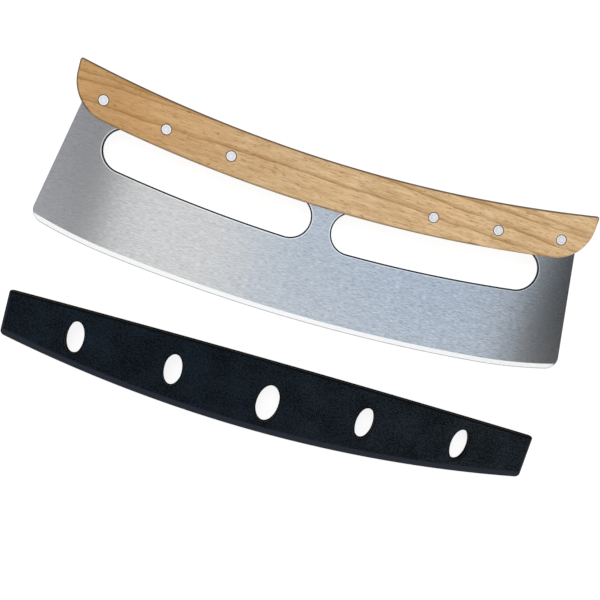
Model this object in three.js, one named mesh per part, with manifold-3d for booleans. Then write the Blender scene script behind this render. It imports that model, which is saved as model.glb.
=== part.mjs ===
// Rocking pizza cutter: a slotted steel blade held between two riveted wooden scales, and the
// moulded guard that slips onto its edge, shown pulled off.
// Millimetres. X runs along the handle, Y points from the cutting edge towards the handle, and Z
// points up from the surface that the rear scale lies on. The origin is the middle of the rear
// scale's outer face.

import * as THREE from 'three';
import { mergeVertices } from 'three/addons/utils/BufferGeometryUtils.js';
import Module from 'manifold-3d';

const wasm = await Module();
wasm.setup();

// Handle: two wooden scales whose outline is a band bent to one radius, tips up
const handleLength = 337;
const handleHeight = 29.3;
const handleRadius = 915; // of the band's mid-line
const handleCornerRadius = 25; // lower corners
const handleTipRadius = 1.5; // upper corners
const scaleThickness = 8.5;
const scaleEdgeRadius = 2.5; // round-over along the outer face

// Blade: one plate, with a full tang between the scales
const bladeThickness = 1.5;
const bladeDepth = 89.4; // handle's mid-line to the lowest point of the edge
const bladeShoulder = 3.6; // the handle's end stands this far outside the blade's side
const bladeFlareDegrees = 11; // each side leans outwards towards the edge
const bladeCornerRadius = 8.5;
const tangInset = 0.3; // tang to the scales' outline
const edgeRadius = 1190; // middle stretch of the cutting edge
const edgeEndRadius = 320; // the two end stretches
const edgeEndStretch = 40; // length of an end stretch, measured in from the blade's side
const bevelWidth = 3.5;
const edgeLand = 0.3; // steel left at the edge

// Finger slots, concentric with the handle
const slotDrop = 25.8; // handle's mid-line to the slots' mid-line
const slotHeight = 26.6;
const bridgeWidth = 14.7; // steel left between the two slots
const slotEndMargin = 20.3; // slot's outer end to the blade's side, at the handle's mid-line

// Two-piece cutlery rivets, three near each end of the handle
const rivetInsets = [102.3, 60.1, 19.3]; // from the handle's end, innermost rivet first
const rivetDrop = 2.8; // below the handle's mid-line
const rivetHeadDiameter = 6;
const rivetHeadThickness = 1.2;
const rivetPinDiameter = 2.6;
const rivetTubeDiameter = 4.4;
const rivetClearance = 0.3; // round the heads, the tube and the pin
const rivetTubeShortfall = 1.6; // end of the tube to the other head
const rivetPinGrip = 9; // length of pin inside the tube

// Guard: a flat pocket, open along its upper edge
const guardFaceWall = 1.8;
const guardFaceClearance = 0.35; // blade's face to the pocket's face
const guardEndWall = 1.5;
const guardEndClearance = 0.4;
const guardFloor = 3;
const guardEdgeClearance = 0.75; // least gap between the cutting edge and the floor
const guardHeight = 49.4; // at the middle
const guardMouthRadius = 10700; // slight crown of the upper edge
const guardBottomRadius = 895;
const guardCornerRadius = 3.5; // lower corners
const guardTipRadius = 1.2; // upper corners
const guardRimRadius = 2.6; // round-over along the bottom and the ends
const guardMouthLead = 0.5; // lead-in chamfer inside the mouth
const guardTravel = 73.9; // from seated to the place where it lies pulled off

// Oval windows through both faces of the guard
const windowsPerSide = 2;
const windowWidth = 12;
const windowHeight = 22;
const middleWindowWidth = 15;
const middleWindowHeight = 26;
const middleWindowDrop = 3.6; // below mid-height
const windowEndMargin = 47.2; // last window's middle to the guard's end

// Facets and the overrun that every cut shares
const longArcSteps = 36;
const shortArcSteps = 10;
const tipArcSteps = 5;
const roundOverSteps = 4;
const ringSides = 24;
const windowSides = 32;
const seatSamples = 200;
const cutOverrun = 2;
const sharpCorner = 0.2; // least radius that a drawn-in corner keeps

const steel = new THREE.MeshStandardMaterial({ color: 0xb4b8bc, roughness: 0.38, metalness: 1 });
const wood = new THREE.MeshStandardMaterial({ color: 0xcf9c66, roughness: 0.55, metalness: 0 });
const rivetMetal = new THREE.MeshStandardMaterial({ color: 0xdfe1e4, roughness: 0.3, metalness: 1 });
const blackPlastic = new THREE.MeshStandardMaterial({ color: 0x1b1e24, roughness: 0.6, metalness: 0 });

const handleThickness = 2 * scaleThickness + bladeThickness;
const bladeSide = handleLength / 2 - bladeShoulder;
const flare = THREE.MathUtils.degToRad(bladeFlareDegrees);
const down = -Math.PI / 2;
const bandCentre = new THREE.Vector2(0, handleRadius);

// Points on a circle from one angle to another, both ends included
function arcPoints(centre, radius, from, to, steps) {
  const points = [];
  for (let i = 0; i <= steps; i += 1) {
    const angle = from + ((to - from) * i) / steps;
    points.push(new THREE.Vector2(centre.x + radius * Math.cos(angle), centre.y + radius * Math.sin(angle)));
  }
  return points;
}

// The point at a given x on the lower side of a circle
function lowPoint(centre, radius, x) {
  return new THREE.Vector2(x, centre.y - Math.sqrt(radius * radius - (x - centre.x) ** 2));
}

function angleFrom(centre, point) {
  return Math.atan2(point.y - centre.y, point.x - centre.x);
}

// A right half that starts and ends on the Y axis, closed with its mirror image
function mirrored(half) {
  const left = half.slice(1, -1).map((point) => point.clone().setX(-point.x));
  return [...half, ...left.reverse()];
}

// Side faces between sections that all have the same number of points
function sideFaces(sections) {
  const count = sections[0].length;
  const indices = [];
  for (let k = 0; k < sections.length - 1; k += 1) {
    for (let i = 0; i < count; i += 1) {
      const a = k * count + i;
      const b = k * count + ((i + 1) % count);
      indices.push(a, b, b + count, a, b + count, a + count);
    }
  }
  return indices;
}

// A closed solid through outlines that are stacked along Z, lowest first, each counterclockwise
function stackedSolid(sections) {
  const indices = sideFaces(sections);
  const top = (sections.length - 1) * sections[0].length;
  for (const [a, b, c] of THREE.ShapeUtils.triangulateShape(sections[0], [])) {
    indices.push(c, b, a);
  }
  for (const [a, b, c] of THREE.ShapeUtils.triangulateShape(sections.at(-1), [])) {
    indices.push(top + a, top + b, top + c);
  }
  return indexedGeometry(sections, indices);
}

// A closed solid through convex sections that follow a path
function sweptSolid(sections) {
  const indices = sideFaces(sections);
  const count = sections[0].length;
  const end = (sections.length - 1) * count;
  for (let i = 1; i < count - 1; i += 1) {
    indices.push(i + 1, i, 0);
    indices.push(end, end + i, end + i + 1);
  }
  return indexedGeometry(sections, indices);
}

// A flat outline lifted to a height
function raised(outline, z) {
  return outline.map((point) => new THREE.Vector3(point.x, point.y, z));
}

function indexedGeometry(sections, indices) {
  const geometry = new THREE.BufferGeometry();
  geometry.setFromPoints(sections.flat());
  geometry.setIndex(indices);
  return geometry;
}

function toManifold(geometry) {
  const bare = geometry.clone();
  bare.deleteAttribute('normal');
  bare.deleteAttribute('uv');
  const merged = mergeVertices(bare);
  const mesh = new wasm.Mesh({
    numProp: 3,
    vertProperties: merged.attributes.position.array,
    triVerts: new Uint32Array(merged.index.array),
  });
  mesh.merge();
  return new wasm.Manifold(mesh);
}

function fromManifold(solid) {
  const mesh = solid.getMesh();
  const geometry = new THREE.BufferGeometry();
  geometry.setAttribute('position', new THREE.BufferAttribute(mesh.vertProperties, mesh.numProp));
  geometry.setIndex(new THREE.BufferAttribute(mesh.triVerts, 1));
  return geometry;
}

// A solid with a list of cutters taken out of it
function cut(body, cutters) {
  let solid = toManifold(body);
  for (const cutter of cutters) {
    solid = solid.subtract(toManifold(cutter));
  }
  return fromManifold(solid);
}

// A round rod along Z between two heights
function rod(x, y, diameter, low, high) {
  const geometry = new THREE.CylinderGeometry(diameter / 2, diameter / 2, high - low, ringSides);
  geometry.rotateX(-down);
  geometry.translate(x, y, (low + high) / 2);
  return geometry;
}

// Steps of a quarter-round edge: how far the outline is drawn in, and how deep below the face
function roundOver(radius) {
  const steps = [];
  for (let i = 0; i <= roundOverSteps; i += 1) {
    const angle = (i * Math.PI) / 2 / roundOverSteps;
    steps.push({ inset: radius * (1 - Math.cos(angle)), depth: radius * (1 - Math.sin(angle)) });
  }
  return steps;
}

// The lower corner of the handle
const cornerCentre = lowPoint(
  bandCentre,
  handleRadius + handleHeight / 2 - handleCornerRadius,
  handleLength / 2 - handleCornerRadius,
);

// Upper edge, tip and straight end of the handle's outline, drawn in by an inset
function handleTop(inset) {
  const radius = handleRadius - handleHeight / 2 + inset;
  const tipRadius = Math.max(handleTipRadius - inset, sharpCorner);
  const tip = lowPoint(bandCentre, radius + tipRadius, handleLength / 2 - inset - tipRadius);
  const tipAngle = angleFrom(bandCentre, tip);
  return [
    ...arcPoints(bandCentre, radius, down, tipAngle, longArcSteps),
    ...arcPoints(tip, tipRadius, tipAngle + Math.PI, 0, tipArcSteps).slice(1),
  ];
}

function handleOutline(inset) {
  const radius = handleRadius + handleHeight / 2 - inset;
  const cornerAngle = angleFrom(bandCentre, cornerCentre);
  return mirrored([
    ...handleTop(inset),
    ...arcPoints(cornerCentre, handleCornerRadius - inset, 0, cornerAngle, shortArcSteps),
    ...arcPoints(bandCentre, radius, cornerAngle, down, longArcSteps).slice(1),
  ]).reverse();
}

// Where the blade's side leaves the lower corner of the tang
function shoulderAngle() {
  const radius = handleCornerRadius - tangInset;
  const slope = Math.tan(flare);
  const reach = bladeSide - cornerCentre.x;
  const a = 1 + slope * slope;
  const b = slope * reach + cornerCentre.y;
  const c = reach * reach + cornerCentre.y ** 2 - radius * radius;
  const y = (b - Math.sqrt(b * b - a * c)) / a;
  return angleFrom(cornerCentre, new THREE.Vector2(bladeSide - y * slope, y));
}

// Cutting edge: a middle arc, an end arc on each side that meets it smoothly, and the corner
const edgeCentre = new THREE.Vector2(0, edgeRadius - bladeDepth);
const edgeJoin = lowPoint(edgeCentre, edgeRadius, bladeSide - edgeEndStretch);
const edgeJoinAngle = angleFrom(edgeCentre, edgeJoin);
const edgeEndCentre = new THREE.Vector2(
  edgeJoin.x - edgeEndRadius * Math.cos(edgeJoinAngle),
  edgeJoin.y - edgeEndRadius * Math.sin(edgeJoinAngle),
);
const bladeCornerCentre = findBladeCorner();
const bladeHalfWidth = bladeCornerCentre.x + bladeCornerRadius;

// The circle that touches both the blade's side and the end arc of the edge
function findBladeCorner() {
  const outward = new THREE.Vector2(Math.cos(flare), Math.sin(flare));
  const along = new THREE.Vector2(Math.sin(flare), -Math.cos(flare));
  const sideDistance = bladeSide * Math.cos(flare);
  const across = sideDistance - bladeCornerRadius - edgeEndCentre.dot(outward);
  const reach = Math.sqrt((edgeEndRadius - bladeCornerRadius) ** 2 - across * across);
  return edgeEndCentre.clone().addScaledVector(outward, across).addScaledVector(along, reach);
}

// The cutting edge's height at a distance from the middle
function edgeHeight(x) {
  if (x <= edgeJoin.x) {
    return lowPoint(edgeCentre, edgeRadius, x).y;
  }
  return lowPoint(edgeEndCentre, edgeEndRadius, x).y;
}

// Half of the blade's outline, with the width of the bevel at each point
function bladeHalf() {
  const radius = handleCornerRadius - tangInset;
  const endAngle = angleFrom(edgeEndCentre, bladeCornerCentre);
  const plain = [
    ...handleTop(tangInset),
    ...arcPoints(cornerCentre, radius, 0, shoulderAngle(), shortArcSteps),
  ];
  const corner = arcPoints(bladeCornerCentre, bladeCornerRadius, flare, endAngle, shortArcSteps);
  const ground = [
    ...arcPoints(edgeEndCentre, edgeEndRadius, endAngle, edgeJoinAngle, shortArcSteps).slice(1),
    ...arcPoints(edgeCentre, edgeRadius, edgeJoinAngle, down, longArcSteps).slice(1),
  ];
  return [
    ...plain.map((point) => ({ point, bevel: 0 })),
    ...corner.map((point) => ({ point, bevel: bevelAtCorner(point) })),
    ...ground.map((point) => ({ point, bevel: bevelWidth })),
  ];
}

// The bevel's upper line runs on through the rounded corner, so the bevel tapers out there
function bevelAtCorner(point) {
  const lineRadius = edgeEndRadius - bevelWidth;
  return Math.max(0, point.distanceTo(edgeEndCentre) - lineRadius);
}

// A point of the edge drawn in by the width of the bevel there
function bevelTop(point, bevel) {
  const centre = point.x > edgeJoin.x ? edgeEndCentre : edgeCentre;
  const reach = point.distanceTo(centre);
  return point.clone().lerp(centre, bevel / reach);
}

// One level of the blade: share is how far down the bevel it lies, 0 at the face and 1 at the edge
function bladeLevel(face, share) {
  const slope = (bladeThickness - edgeLand) / 2 / bevelWidth;
  const half = bladeHalf().map(({ point, bevel }) => {
    const flat = bevelTop(point, bevel * (1 - share));
    const depth = bevel * share * slope;
    return new THREE.Vector3(flat.x, flat.y, face > 0 ? bladeThickness - depth : depth);
  });
  return mirrored(half).reverse();
}

// One finger slot, on the side that the sign names
function slotOutline(side) {
  const radius = handleRadius + slotDrop;
  const end = slotHeight / 2;
  const inner = lowPoint(bandCentre, radius, bridgeWidth / 2 + end);
  const outer = lowPoint(bandCentre, radius, bladeSide - slotEndMargin - end);
  const innerAngle = angleFrom(bandCentre, inner);
  const outerAngle = angleFrom(bandCentre, outer);
  const points = [
    ...arcPoints(bandCentre, radius + end, innerAngle, outerAngle, longArcSteps),
    ...arcPoints(outer, end, outerAngle, outerAngle + Math.PI, shortArcSteps).slice(1),
    ...arcPoints(bandCentre, radius - end, outerAngle, innerAngle, longArcSteps).slice(1),
    ...arcPoints(inner, end, innerAngle + Math.PI, innerAngle + 2 * Math.PI, shortArcSteps).slice(1, -1),
  ];
  return points.map((point) => new THREE.Vector2(side * point.x, point.y));
}

// Each rivet's place on the handle, from the left end to the right
function rivetPlaces() {
  const right = rivetInsets.map((inset) => handleLength / 2 - inset);
  const left = right.map((x) => -x).reverse();
  return [...left, ...right].map((x) => lowPoint(bandCentre, handleRadius + rivetDrop, x));
}

// A straight cutter through an outline, from one height to another
function prism(outline, low, high) {
  return stackedSolid([raised(outline, low), raised(outline, high)]);
}

function bladeGeometry() {
  const body = stackedSolid([bladeLevel(-1, 0), bladeLevel(-1, 1), bladeLevel(1, 1), bladeLevel(1, 0)]);
  const low = -cutOverrun;
  const high = bladeThickness + cutOverrun;
  const slots = [prism(slotOutline(-1).reverse(), low, high), prism(slotOutline(1), low, high)];
  const bores = rivetPlaces().map(({ x, y }) => rod(x, y, rivetTubeDiameter + 2 * rivetClearance, low, high));
  return cut(body, [...slots, ...bores]);
}

// A scale with its flat inner face at one height and its rounded outer face at the other
function scaleGeometry(outerUp) {
  const place = (height) => (outerUp ? height : scaleThickness - height);
  const sections = [raised(handleOutline(0), place(0))];
  for (const { inset, depth } of roundOver(scaleEdgeRadius)) {
    sections.push(raised(handleOutline(inset), place(scaleThickness - depth)));
  }
  const body = stackedSolid(outerUp ? sections : sections.reverse());
  const seat = outerUp ? scaleThickness - rivetHeadThickness : rivetHeadThickness;
  const open = outerUp ? scaleThickness + cutOverrun : -cutOverrun;
  const cutters = [];
  for (const { x, y } of rivetPlaces()) {
    cutters.push(rod(x, y, rivetTubeDiameter + 2 * rivetClearance, -cutOverrun, scaleThickness + cutOverrun));
    cutters.push(rod(x, y, rivetHeadDiameter + 2 * rivetClearance, Math.min(seat, open), Math.max(seat, open)));
  }
  return cut(body, cutters);
}

// A body turned about Z from a list of radii and heights that starts and ends on the axis
function turned(profile) {
  const points = profile.map(([radius, height]) => new THREE.Vector2(radius, height));
  const geometry = new THREE.LatheGeometry(points, ringSides);
  geometry.rotateX(-down);
  return geometry;
}

// The rear half: a head with a tube that reaches almost to the other head
function femaleRivetGeometry() {
  const head = rivetHeadDiameter / 2;
  const tube = rivetTubeDiameter / 2;
  const bore = rivetPinDiameter / 2 + rivetClearance;
  const tubeEnd = handleThickness - rivetHeadThickness - rivetTubeShortfall;
  const boreFloor = tubeEnd - rivetPinGrip - rivetClearance;
  return turned([
    [0, 0],
    [head, 0],
    [head, rivetHeadThickness],
    [tube, rivetHeadThickness],
    [tube, tubeEnd],
    [bore, tubeEnd],
    [bore, boreFloor],
    [0, boreFloor],
  ]);
}

// The front half: a head with a pin that is pressed into the tube
function maleRivetGeometry() {
  const head = rivetHeadDiameter / 2;
  const pin = rivetPinDiameter / 2;
  const pinEnd = handleThickness - rivetHeadThickness - rivetTubeShortfall - rivetPinGrip;
  return turned([
    [0, pinEnd],
    [pin, pinEnd],
    [pin, handleThickness - rivetHeadThickness],
    [head, handleThickness - rivetHeadThickness],
    [head, handleThickness],
    [0, handleThickness],
  ]);
}

const pocketHalfLength = bladeHalfWidth + guardEndClearance;
const guardHalfLength = pocketHalfLength + guardEndWall;
const pocketThickness = bladeThickness + 2 * guardFaceClearance;
const guardThickness = pocketThickness + 2 * guardFaceWall;

// The guard's own frame has its origin at the middle of the mouth, half way through its thickness
const guardMouthCentre = new THREE.Vector2(0, -guardMouthRadius);
const guardBottomCentre = new THREE.Vector2(0, guardBottomRadius - guardHeight);

function mouthHeight(x) {
  return guardMouthCentre.y + Math.sqrt(guardMouthRadius ** 2 - x * x);
}

// Outline of the guard or of its pocket: the mouth stays, the ends and the bottom are drawn in
function guardOutline(halfLength, bottomRadius, cornerRadius, lift) {
  const corner = lowPoint(guardBottomCentre, bottomRadius - cornerRadius, halfLength - cornerRadius);
  const cornerAngle = angleFrom(guardBottomCentre, corner);
  const tipX = halfLength - guardTipRadius;
  const tip = new THREE.Vector2(tipX, mouthHeight(tipX) + lift - guardTipRadius);
  const mouth = [];
  for (let i = 0; i < shortArcSteps; i += 1) {
    const x = (tipX * i) / shortArcSteps;
    mouth.push(new THREE.Vector2(x, mouthHeight(x) + lift));
  }
  return mirrored([
    ...mouth,
    ...arcPoints(tip, guardTipRadius, -down, 0, tipArcSteps),
    ...arcPoints(corner, cornerRadius, 0, cornerAngle, tipArcSteps),
    ...arcPoints(guardBottomCentre, bottomRadius, cornerAngle, down, longArcSteps).slice(1),
  ]).reverse();
}

// The outside of the guard, rounded over along the bottom and the ends on both faces
function guardShell() {
  const rim = Math.min(guardRimRadius, guardThickness / 2);
  const cornerRadius = Math.max(guardCornerRadius, rim + guardEdgeClearance);
  const upper = roundOver(rim).map(({ inset, depth }) => raised(
    guardOutline(guardHalfLength - inset, guardBottomRadius - inset, cornerRadius - inset, 0),
    guardThickness / 2 - depth,
  ));
  const lower = upper.map((section) => section.map((point) => point.clone().setZ(-point.z)));
  return stackedSolid([...lower.reverse(), ...upper]);
}

// The pocket, run out past the mouth
function pocketCutter() {
  const radius = guardBottomRadius - guardFloor;
  const outline = guardOutline(pocketHalfLength, radius, guardCornerRadius - guardEndWall, cutOverrun);
  return prism(outline, -pocketThickness / 2, pocketThickness / 2);
}

// The lead-in along the mouth: a wedge that is widest at the upper edge
function mouthCutter() {
  const sections = [];
  for (let i = -longArcSteps; i <= longArcSteps; i += 1) {
    const x = ((pocketHalfLength - guardEndClearance) * i) / longArcSteps;
    const y = mouthHeight(x);
    const narrow = pocketThickness / 2 - guardMouthLead;
    const wide = pocketThickness / 2 + guardMouthLead + cutOverrun;
    sections.push([
      new THREE.Vector3(x, y + cutOverrun, wide),
      new THREE.Vector3(x, y - 2 * guardMouthLead, narrow),
      new THREE.Vector3(x, y - 2 * guardMouthLead, -narrow),
      new THREE.Vector3(x, y + cutOverrun, -wide),
    ]);
  }
  return sweptSolid(sections);
}

function windowCutter(x, y, width, height) {
  const outline = new THREE.EllipseCurve(x, y, width / 2, height / 2).getPoints(windowSides).slice(1);
  const reach = guardThickness / 2 + cutOverrun;
  return prism(outline, -reach, reach);
}

function guardMidHeight(x) {
  return (mouthHeight(x) + lowPoint(guardBottomCentre, guardBottomRadius, x).y) / 2;
}

function guardGeometry() {
  const pitch = (guardHalfLength - windowEndMargin) / windowsPerSide;
  const middle = guardMidHeight(0) - middleWindowDrop;
  const cutters = [pocketCutter(), mouthCutter(), windowCutter(0, middle, middleWindowWidth, middleWindowHeight)];
  for (let i = 1; i <= windowsPerSide; i += 1) {
    for (const side of [-1, 1]) {
      const x = i * pitch;
      cutters.push(windowCutter(side * x, guardMidHeight(x), windowWidth, windowHeight));
    }
  }
  return cut(guardShell(), cutters);
}

// Height of the guard's mouth when the edge is seated in it, with the least gap that is allowed
function seatedMouthHeight() {
  const floorRadius = guardBottomRadius - guardFloor;
  let seat = Infinity;
  for (let i = 0; i <= seatSamples; i += 1) {
    const x = ((bladeHalfWidth - bladeCornerRadius) * i) / seatSamples;
    const floor = lowPoint(guardBottomCentre, floorRadius, x).y;
    seat = Math.min(seat, edgeHeight(x) - guardEdgeClearance - floor);
  }
  return seat;
}

const group = new THREE.Group();

function add(name, geometry, material, x, y, z) {
  const mesh = new THREE.Mesh(geometry, material);
  mesh.name = name;
  mesh.position.set(x, y, z);
  group.add(mesh);
}

add('blade', bladeGeometry(), steel, 0, 0, scaleThickness);
add('front_scale', scaleGeometry(true), wood, 0, 0, scaleThickness + bladeThickness);
add('rear_scale', scaleGeometry(false), wood, 0, 0, 0);
rivetPlaces().forEach(({ x, y }, i) => {
  add(`rivet_pin_${i + 1}`, maleRivetGeometry(), rivetMetal, x, y, 0);
  add(`rivet_tube_${i + 1}`, femaleRivetGeometry(), rivetMetal, x, y, 0);
});
add('blade_guard', guardGeometry(), blackPlastic, 0, seatedMouthHeight() - guardTravel, handleThickness / 2);

export default group;
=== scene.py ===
"""Rocking pizza cutter: a slotted steel blade between riveted wooden scales, with its guard pulled off.

Metres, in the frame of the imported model: X along the handle, Y from the cutting edge to the handle,
Z up from the surface that the rear scale lies on.
"""
import logging
import math
from dataclasses import dataclass
from enum import Enum, IntEnum

import bmesh
import bpy
import numpy as np
from bpy.types import ID, Material, Mesh, Node, NodeSocket, NodeTree, Object
from mathutils import Matrix, Vector
from mathutils.geometry import tessellate_polygon


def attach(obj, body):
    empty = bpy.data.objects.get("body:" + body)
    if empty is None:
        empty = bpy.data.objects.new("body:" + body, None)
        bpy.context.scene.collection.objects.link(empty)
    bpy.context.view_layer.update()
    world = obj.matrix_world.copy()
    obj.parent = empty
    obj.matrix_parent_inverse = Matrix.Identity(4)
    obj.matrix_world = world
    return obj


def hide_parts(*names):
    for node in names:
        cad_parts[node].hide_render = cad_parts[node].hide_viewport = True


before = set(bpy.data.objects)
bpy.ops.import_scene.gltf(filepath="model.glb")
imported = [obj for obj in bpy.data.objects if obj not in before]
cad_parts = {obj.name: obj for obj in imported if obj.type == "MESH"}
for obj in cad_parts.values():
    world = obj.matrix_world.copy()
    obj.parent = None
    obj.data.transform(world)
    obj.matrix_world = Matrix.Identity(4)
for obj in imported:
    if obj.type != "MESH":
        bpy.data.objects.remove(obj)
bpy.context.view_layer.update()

MM = 0.001
DOWN = -math.pi / 2
MIRROR_X = (-1, 1)
MERGE = 0.001 * MM
LOG = logging.getLogger("pizza_cutter")
Loop = np.ndarray


class Body(Enum):
    """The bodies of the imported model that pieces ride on."""

    CUTTER = "cutter"
    GUARD = "guard"


class Facing(Enum):
    """The side of the handle that a scale or a row of rivet heads shows on."""

    FRONT = 1
    REAR = -1


# Outlines


def on_circle(centre: tuple, radius: float, angle: float) -> np.ndarray:
    """A point of a circle."""
    return np.array([centre[0] + radius * math.cos(angle), centre[1] + radius * math.sin(angle)])


def arc(centre: tuple, radius: float, start: float, end: float, steps: int) -> Loop:
    """Points along a circle from one angle to another, both ends included."""
    return np.array([on_circle(centre, radius, angle) for angle in np.linspace(start, end, steps + 1)])


def circle(x: float, y: float, radius: float, steps: int) -> Loop:
    """A counterclockwise circle."""
    return arc((x, y), radius, 0, math.tau, steps)[:-1]


def low_point(centre: tuple, radius: float, x: float) -> np.ndarray:
    """The point at a given x on the lower side of a circle."""
    return np.array([x, centre[1] - math.sqrt(radius**2 - (x - centre[0]) ** 2)])


def angle_of(centre: tuple, point: np.ndarray) -> float:
    """The angle at which a point is seen from a centre."""
    return math.atan2(point[1] - centre[1], point[0] - centre[0])


def around(values: np.ndarray) -> np.ndarray:
    """The values of a right half's points, one for each point of the closed outline."""
    return np.concatenate([values, values[1:-1][::-1]])[::-1]


def closed(half: Loop) -> Loop:
    """A clockwise right half that starts and ends on the Y axis, made whole and counterclockwise."""
    return np.vstack([half, half[1:-1][::-1] * MIRROR_X])[::-1]


def inward(loop: Loop, distance: float | np.ndarray) -> Loop:
    """An outline drawn in.

    Args:
        loop: The outline, counterclockwise.
        distance: One distance, or one for each point.

    Returns:
        The outline with each point moved along its normal.
    """
    along = np.roll(loop, -1, axis=0) - np.roll(loop, 1, axis=0)
    normal = np.column_stack([-along[:, 1], along[:, 0]])
    normal /= np.linalg.norm(normal, axis=1)[:, None]
    return loop + normal * np.reshape(distance, (-1, 1))


def band(value: float, start: float, full: float, ebb: float, end: float) -> float:
    """Rises from 0 to 1 between start and full, and falls back between ebb and end."""
    return max(0.0, min(1.0, (value - start) / (full - start), (end - value) / (end - ebb)))


# Mesh making


class Skin:
    """Collects the rings and faces of one piece, then turns them into a mesh."""

    def __init__(self) -> None:
        """Starts with nothing collected."""
        self.points: list[tuple[float, float, float]] = []
        self.tones: list[float] = []
        self.faces: list[tuple[int, ...]] = []
        self.marks: list[int] = []

    def ring(self, loop: Loop, height: float | np.ndarray, tone: float = 0.0) -> list[int]:
        """Adds the points of an outline.

        Args:
            loop: The outline in X and Y.
            height: One height, or one for each point.
            tone: The strength of the painted shade and highlight at the points.

        Returns:
            The numbers of the points.
        """
        first = len(self.points)
        heights = np.broadcast_to(height, len(loop))
        self.points += [(float(x), float(y), float(z)) for (x, y), z in zip(loop, heights)]
        self.tones += [tone] * len(loop)
        return list(range(first, len(self.points)))

    def face(self, numbers: tuple | list, mark: int = 0) -> None:
        """Adds one face, with the number of its material."""
        self.faces.append(tuple(numbers))
        self.marks.append(mark)

    def walls(self, rings: list[list[int]], mark: int = 0) -> None:
        """Joins counterclockwise rings one after another, so that the faces point outwards.

        Args:
            rings: The rings, lowest first.
            mark: The number of the faces' material.
        """
        for lower, upper in zip(rings, rings[1:]):
            for i in range(len(lower)):
                j = (i + 1) % len(lower)
                self.face((lower[i], lower[j], upper[j], upper[i]), mark)

    def cap(self, outer: list[int], holes: list[list[int]], up: bool, mark: int = 0) -> None:
        """Fills a flat face.

        Args:
            outer: The ring round it.
            holes: The rings of its holes.
            up: Whether it points up.
            mark: The number of its material.
        """
        loops = [outer, *holes]
        flat = [number for loop in loops for number in loop]
        places = [[Vector(self.points[number]) for number in loop] for loop in loops]
        for corners in tessellate_polygon(places):
            one, two, three = (Vector(self.points[flat[i]]).to_2d() for i in corners)
            turned = (two - one).cross(three - one) > 0
            self.face([flat[i] for i in (corners if turned == up else corners[::-1])], mark)

    def object(self, name: str, finishes: list[Material], crease: float) -> Object:
        """Turns what was collected into an object.

        Args:
            name: The name of the object.
            finishes: Its materials, in the order of the marks.
            crease: Faces that meet at more than this many degrees keep a sharp edge.

        Returns:
            The object, at the origin.
        """
        mesh = bpy.data.meshes.new(name)
        mesh.from_pydata(self.points, [], self.faces)
        mark_tones(mesh, self.tones)
        mesh.polygons.foreach_set("material_index", self.marks)
        return finished(name, mesh, finishes, crease)


def linked(name: str, data: ID) -> Object:
    """A new object of the scene.

    Args:
        name: The name of the object.
        data: What it holds.

    Returns:
        The object.
    """
    obj = bpy.data.objects.new(name, data)
    bpy.context.scene.collection.objects.link(obj)
    return obj


def plain_object(name: str, points: list[tuple], faces: list[tuple]) -> Object:
    """A new object of the scene with a bare mesh.

    Args:
        name: The name of the object.
        points: Its points.
        faces: The numbers of each face's points.

    Returns:
        The object.
    """
    mesh = bpy.data.meshes.new(name)
    mesh.from_pydata(points, [], faces)
    return linked(name, mesh)


def mark_tones(mesh: Mesh, tones: list[float]) -> None:
    """Writes the strength of the painted shade and highlight at each point of a mesh.

    Args:
        mesh: The mesh.
        tones: A tone for each point. They take the place of any that it has.
    """
    old = mesh.attributes.get("tone")
    if old:
        mesh.attributes.remove(old)
    mesh.attributes.new("tone", "FLOAT", "POINT").data.foreach_set("value", tones)


def finished(name: str, mesh: Mesh, finishes: list[Material], crease: float) -> Object:
    """Welds and smooths a mesh, gives it its materials and a flat map, and makes an object of it.

    Args:
        name: The name of the object.
        mesh: The mesh.
        finishes: Its materials.
        crease: Faces that meet at more than this many degrees keep a sharp edge.

    Returns:
        The object.
    """
    map_span = 0.4
    cleaner = bmesh.new()
    cleaner.from_mesh(mesh)
    bmesh.ops.remove_doubles(cleaner, verts=cleaner.verts, dist=2 * MERGE)
    bmesh.ops.dissolve_degenerate(cleaner, edges=cleaner.edges, dist=MERGE)
    cleaner.to_mesh(mesh)
    cleaner.free()
    if mesh.materials:
        mesh.materials.clear()
    for finish in finishes:
        mesh.materials.append(finish)
    mesh.shade_smooth()
    mesh.set_sharp_from_angle(angle=math.radians(crease))
    chart = mesh.uv_layers.get("flat") or mesh.uv_layers.new(name="flat")
    corners = np.empty(len(mesh.loops), int)
    mesh.loops.foreach_get("vertex_index", corners)
    places = np.empty(len(mesh.vertices) * 3)
    mesh.vertices.foreach_get("co", places)
    chart.data.foreach_set("uv", places.reshape(-1, 3)[corners][:, :2].ravel() / map_span + 0.5)
    mesh.update()
    return linked(name, mesh)


def placed(obj: Object, body: Body, nodes: list[str]) -> None:
    """Makes a piece ride on its body and stand for its nodes, and reports it.

    Args:
        obj: The piece.
        body: The body that it rides on.
        nodes: The nodes that it stands for.
    """
    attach(obj, body.value)
    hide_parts(*nodes)
    LOG.info("%s: %d vertices, rides on %s", obj.name, len(obj.data.vertices), body.value)


# Node trees


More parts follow.
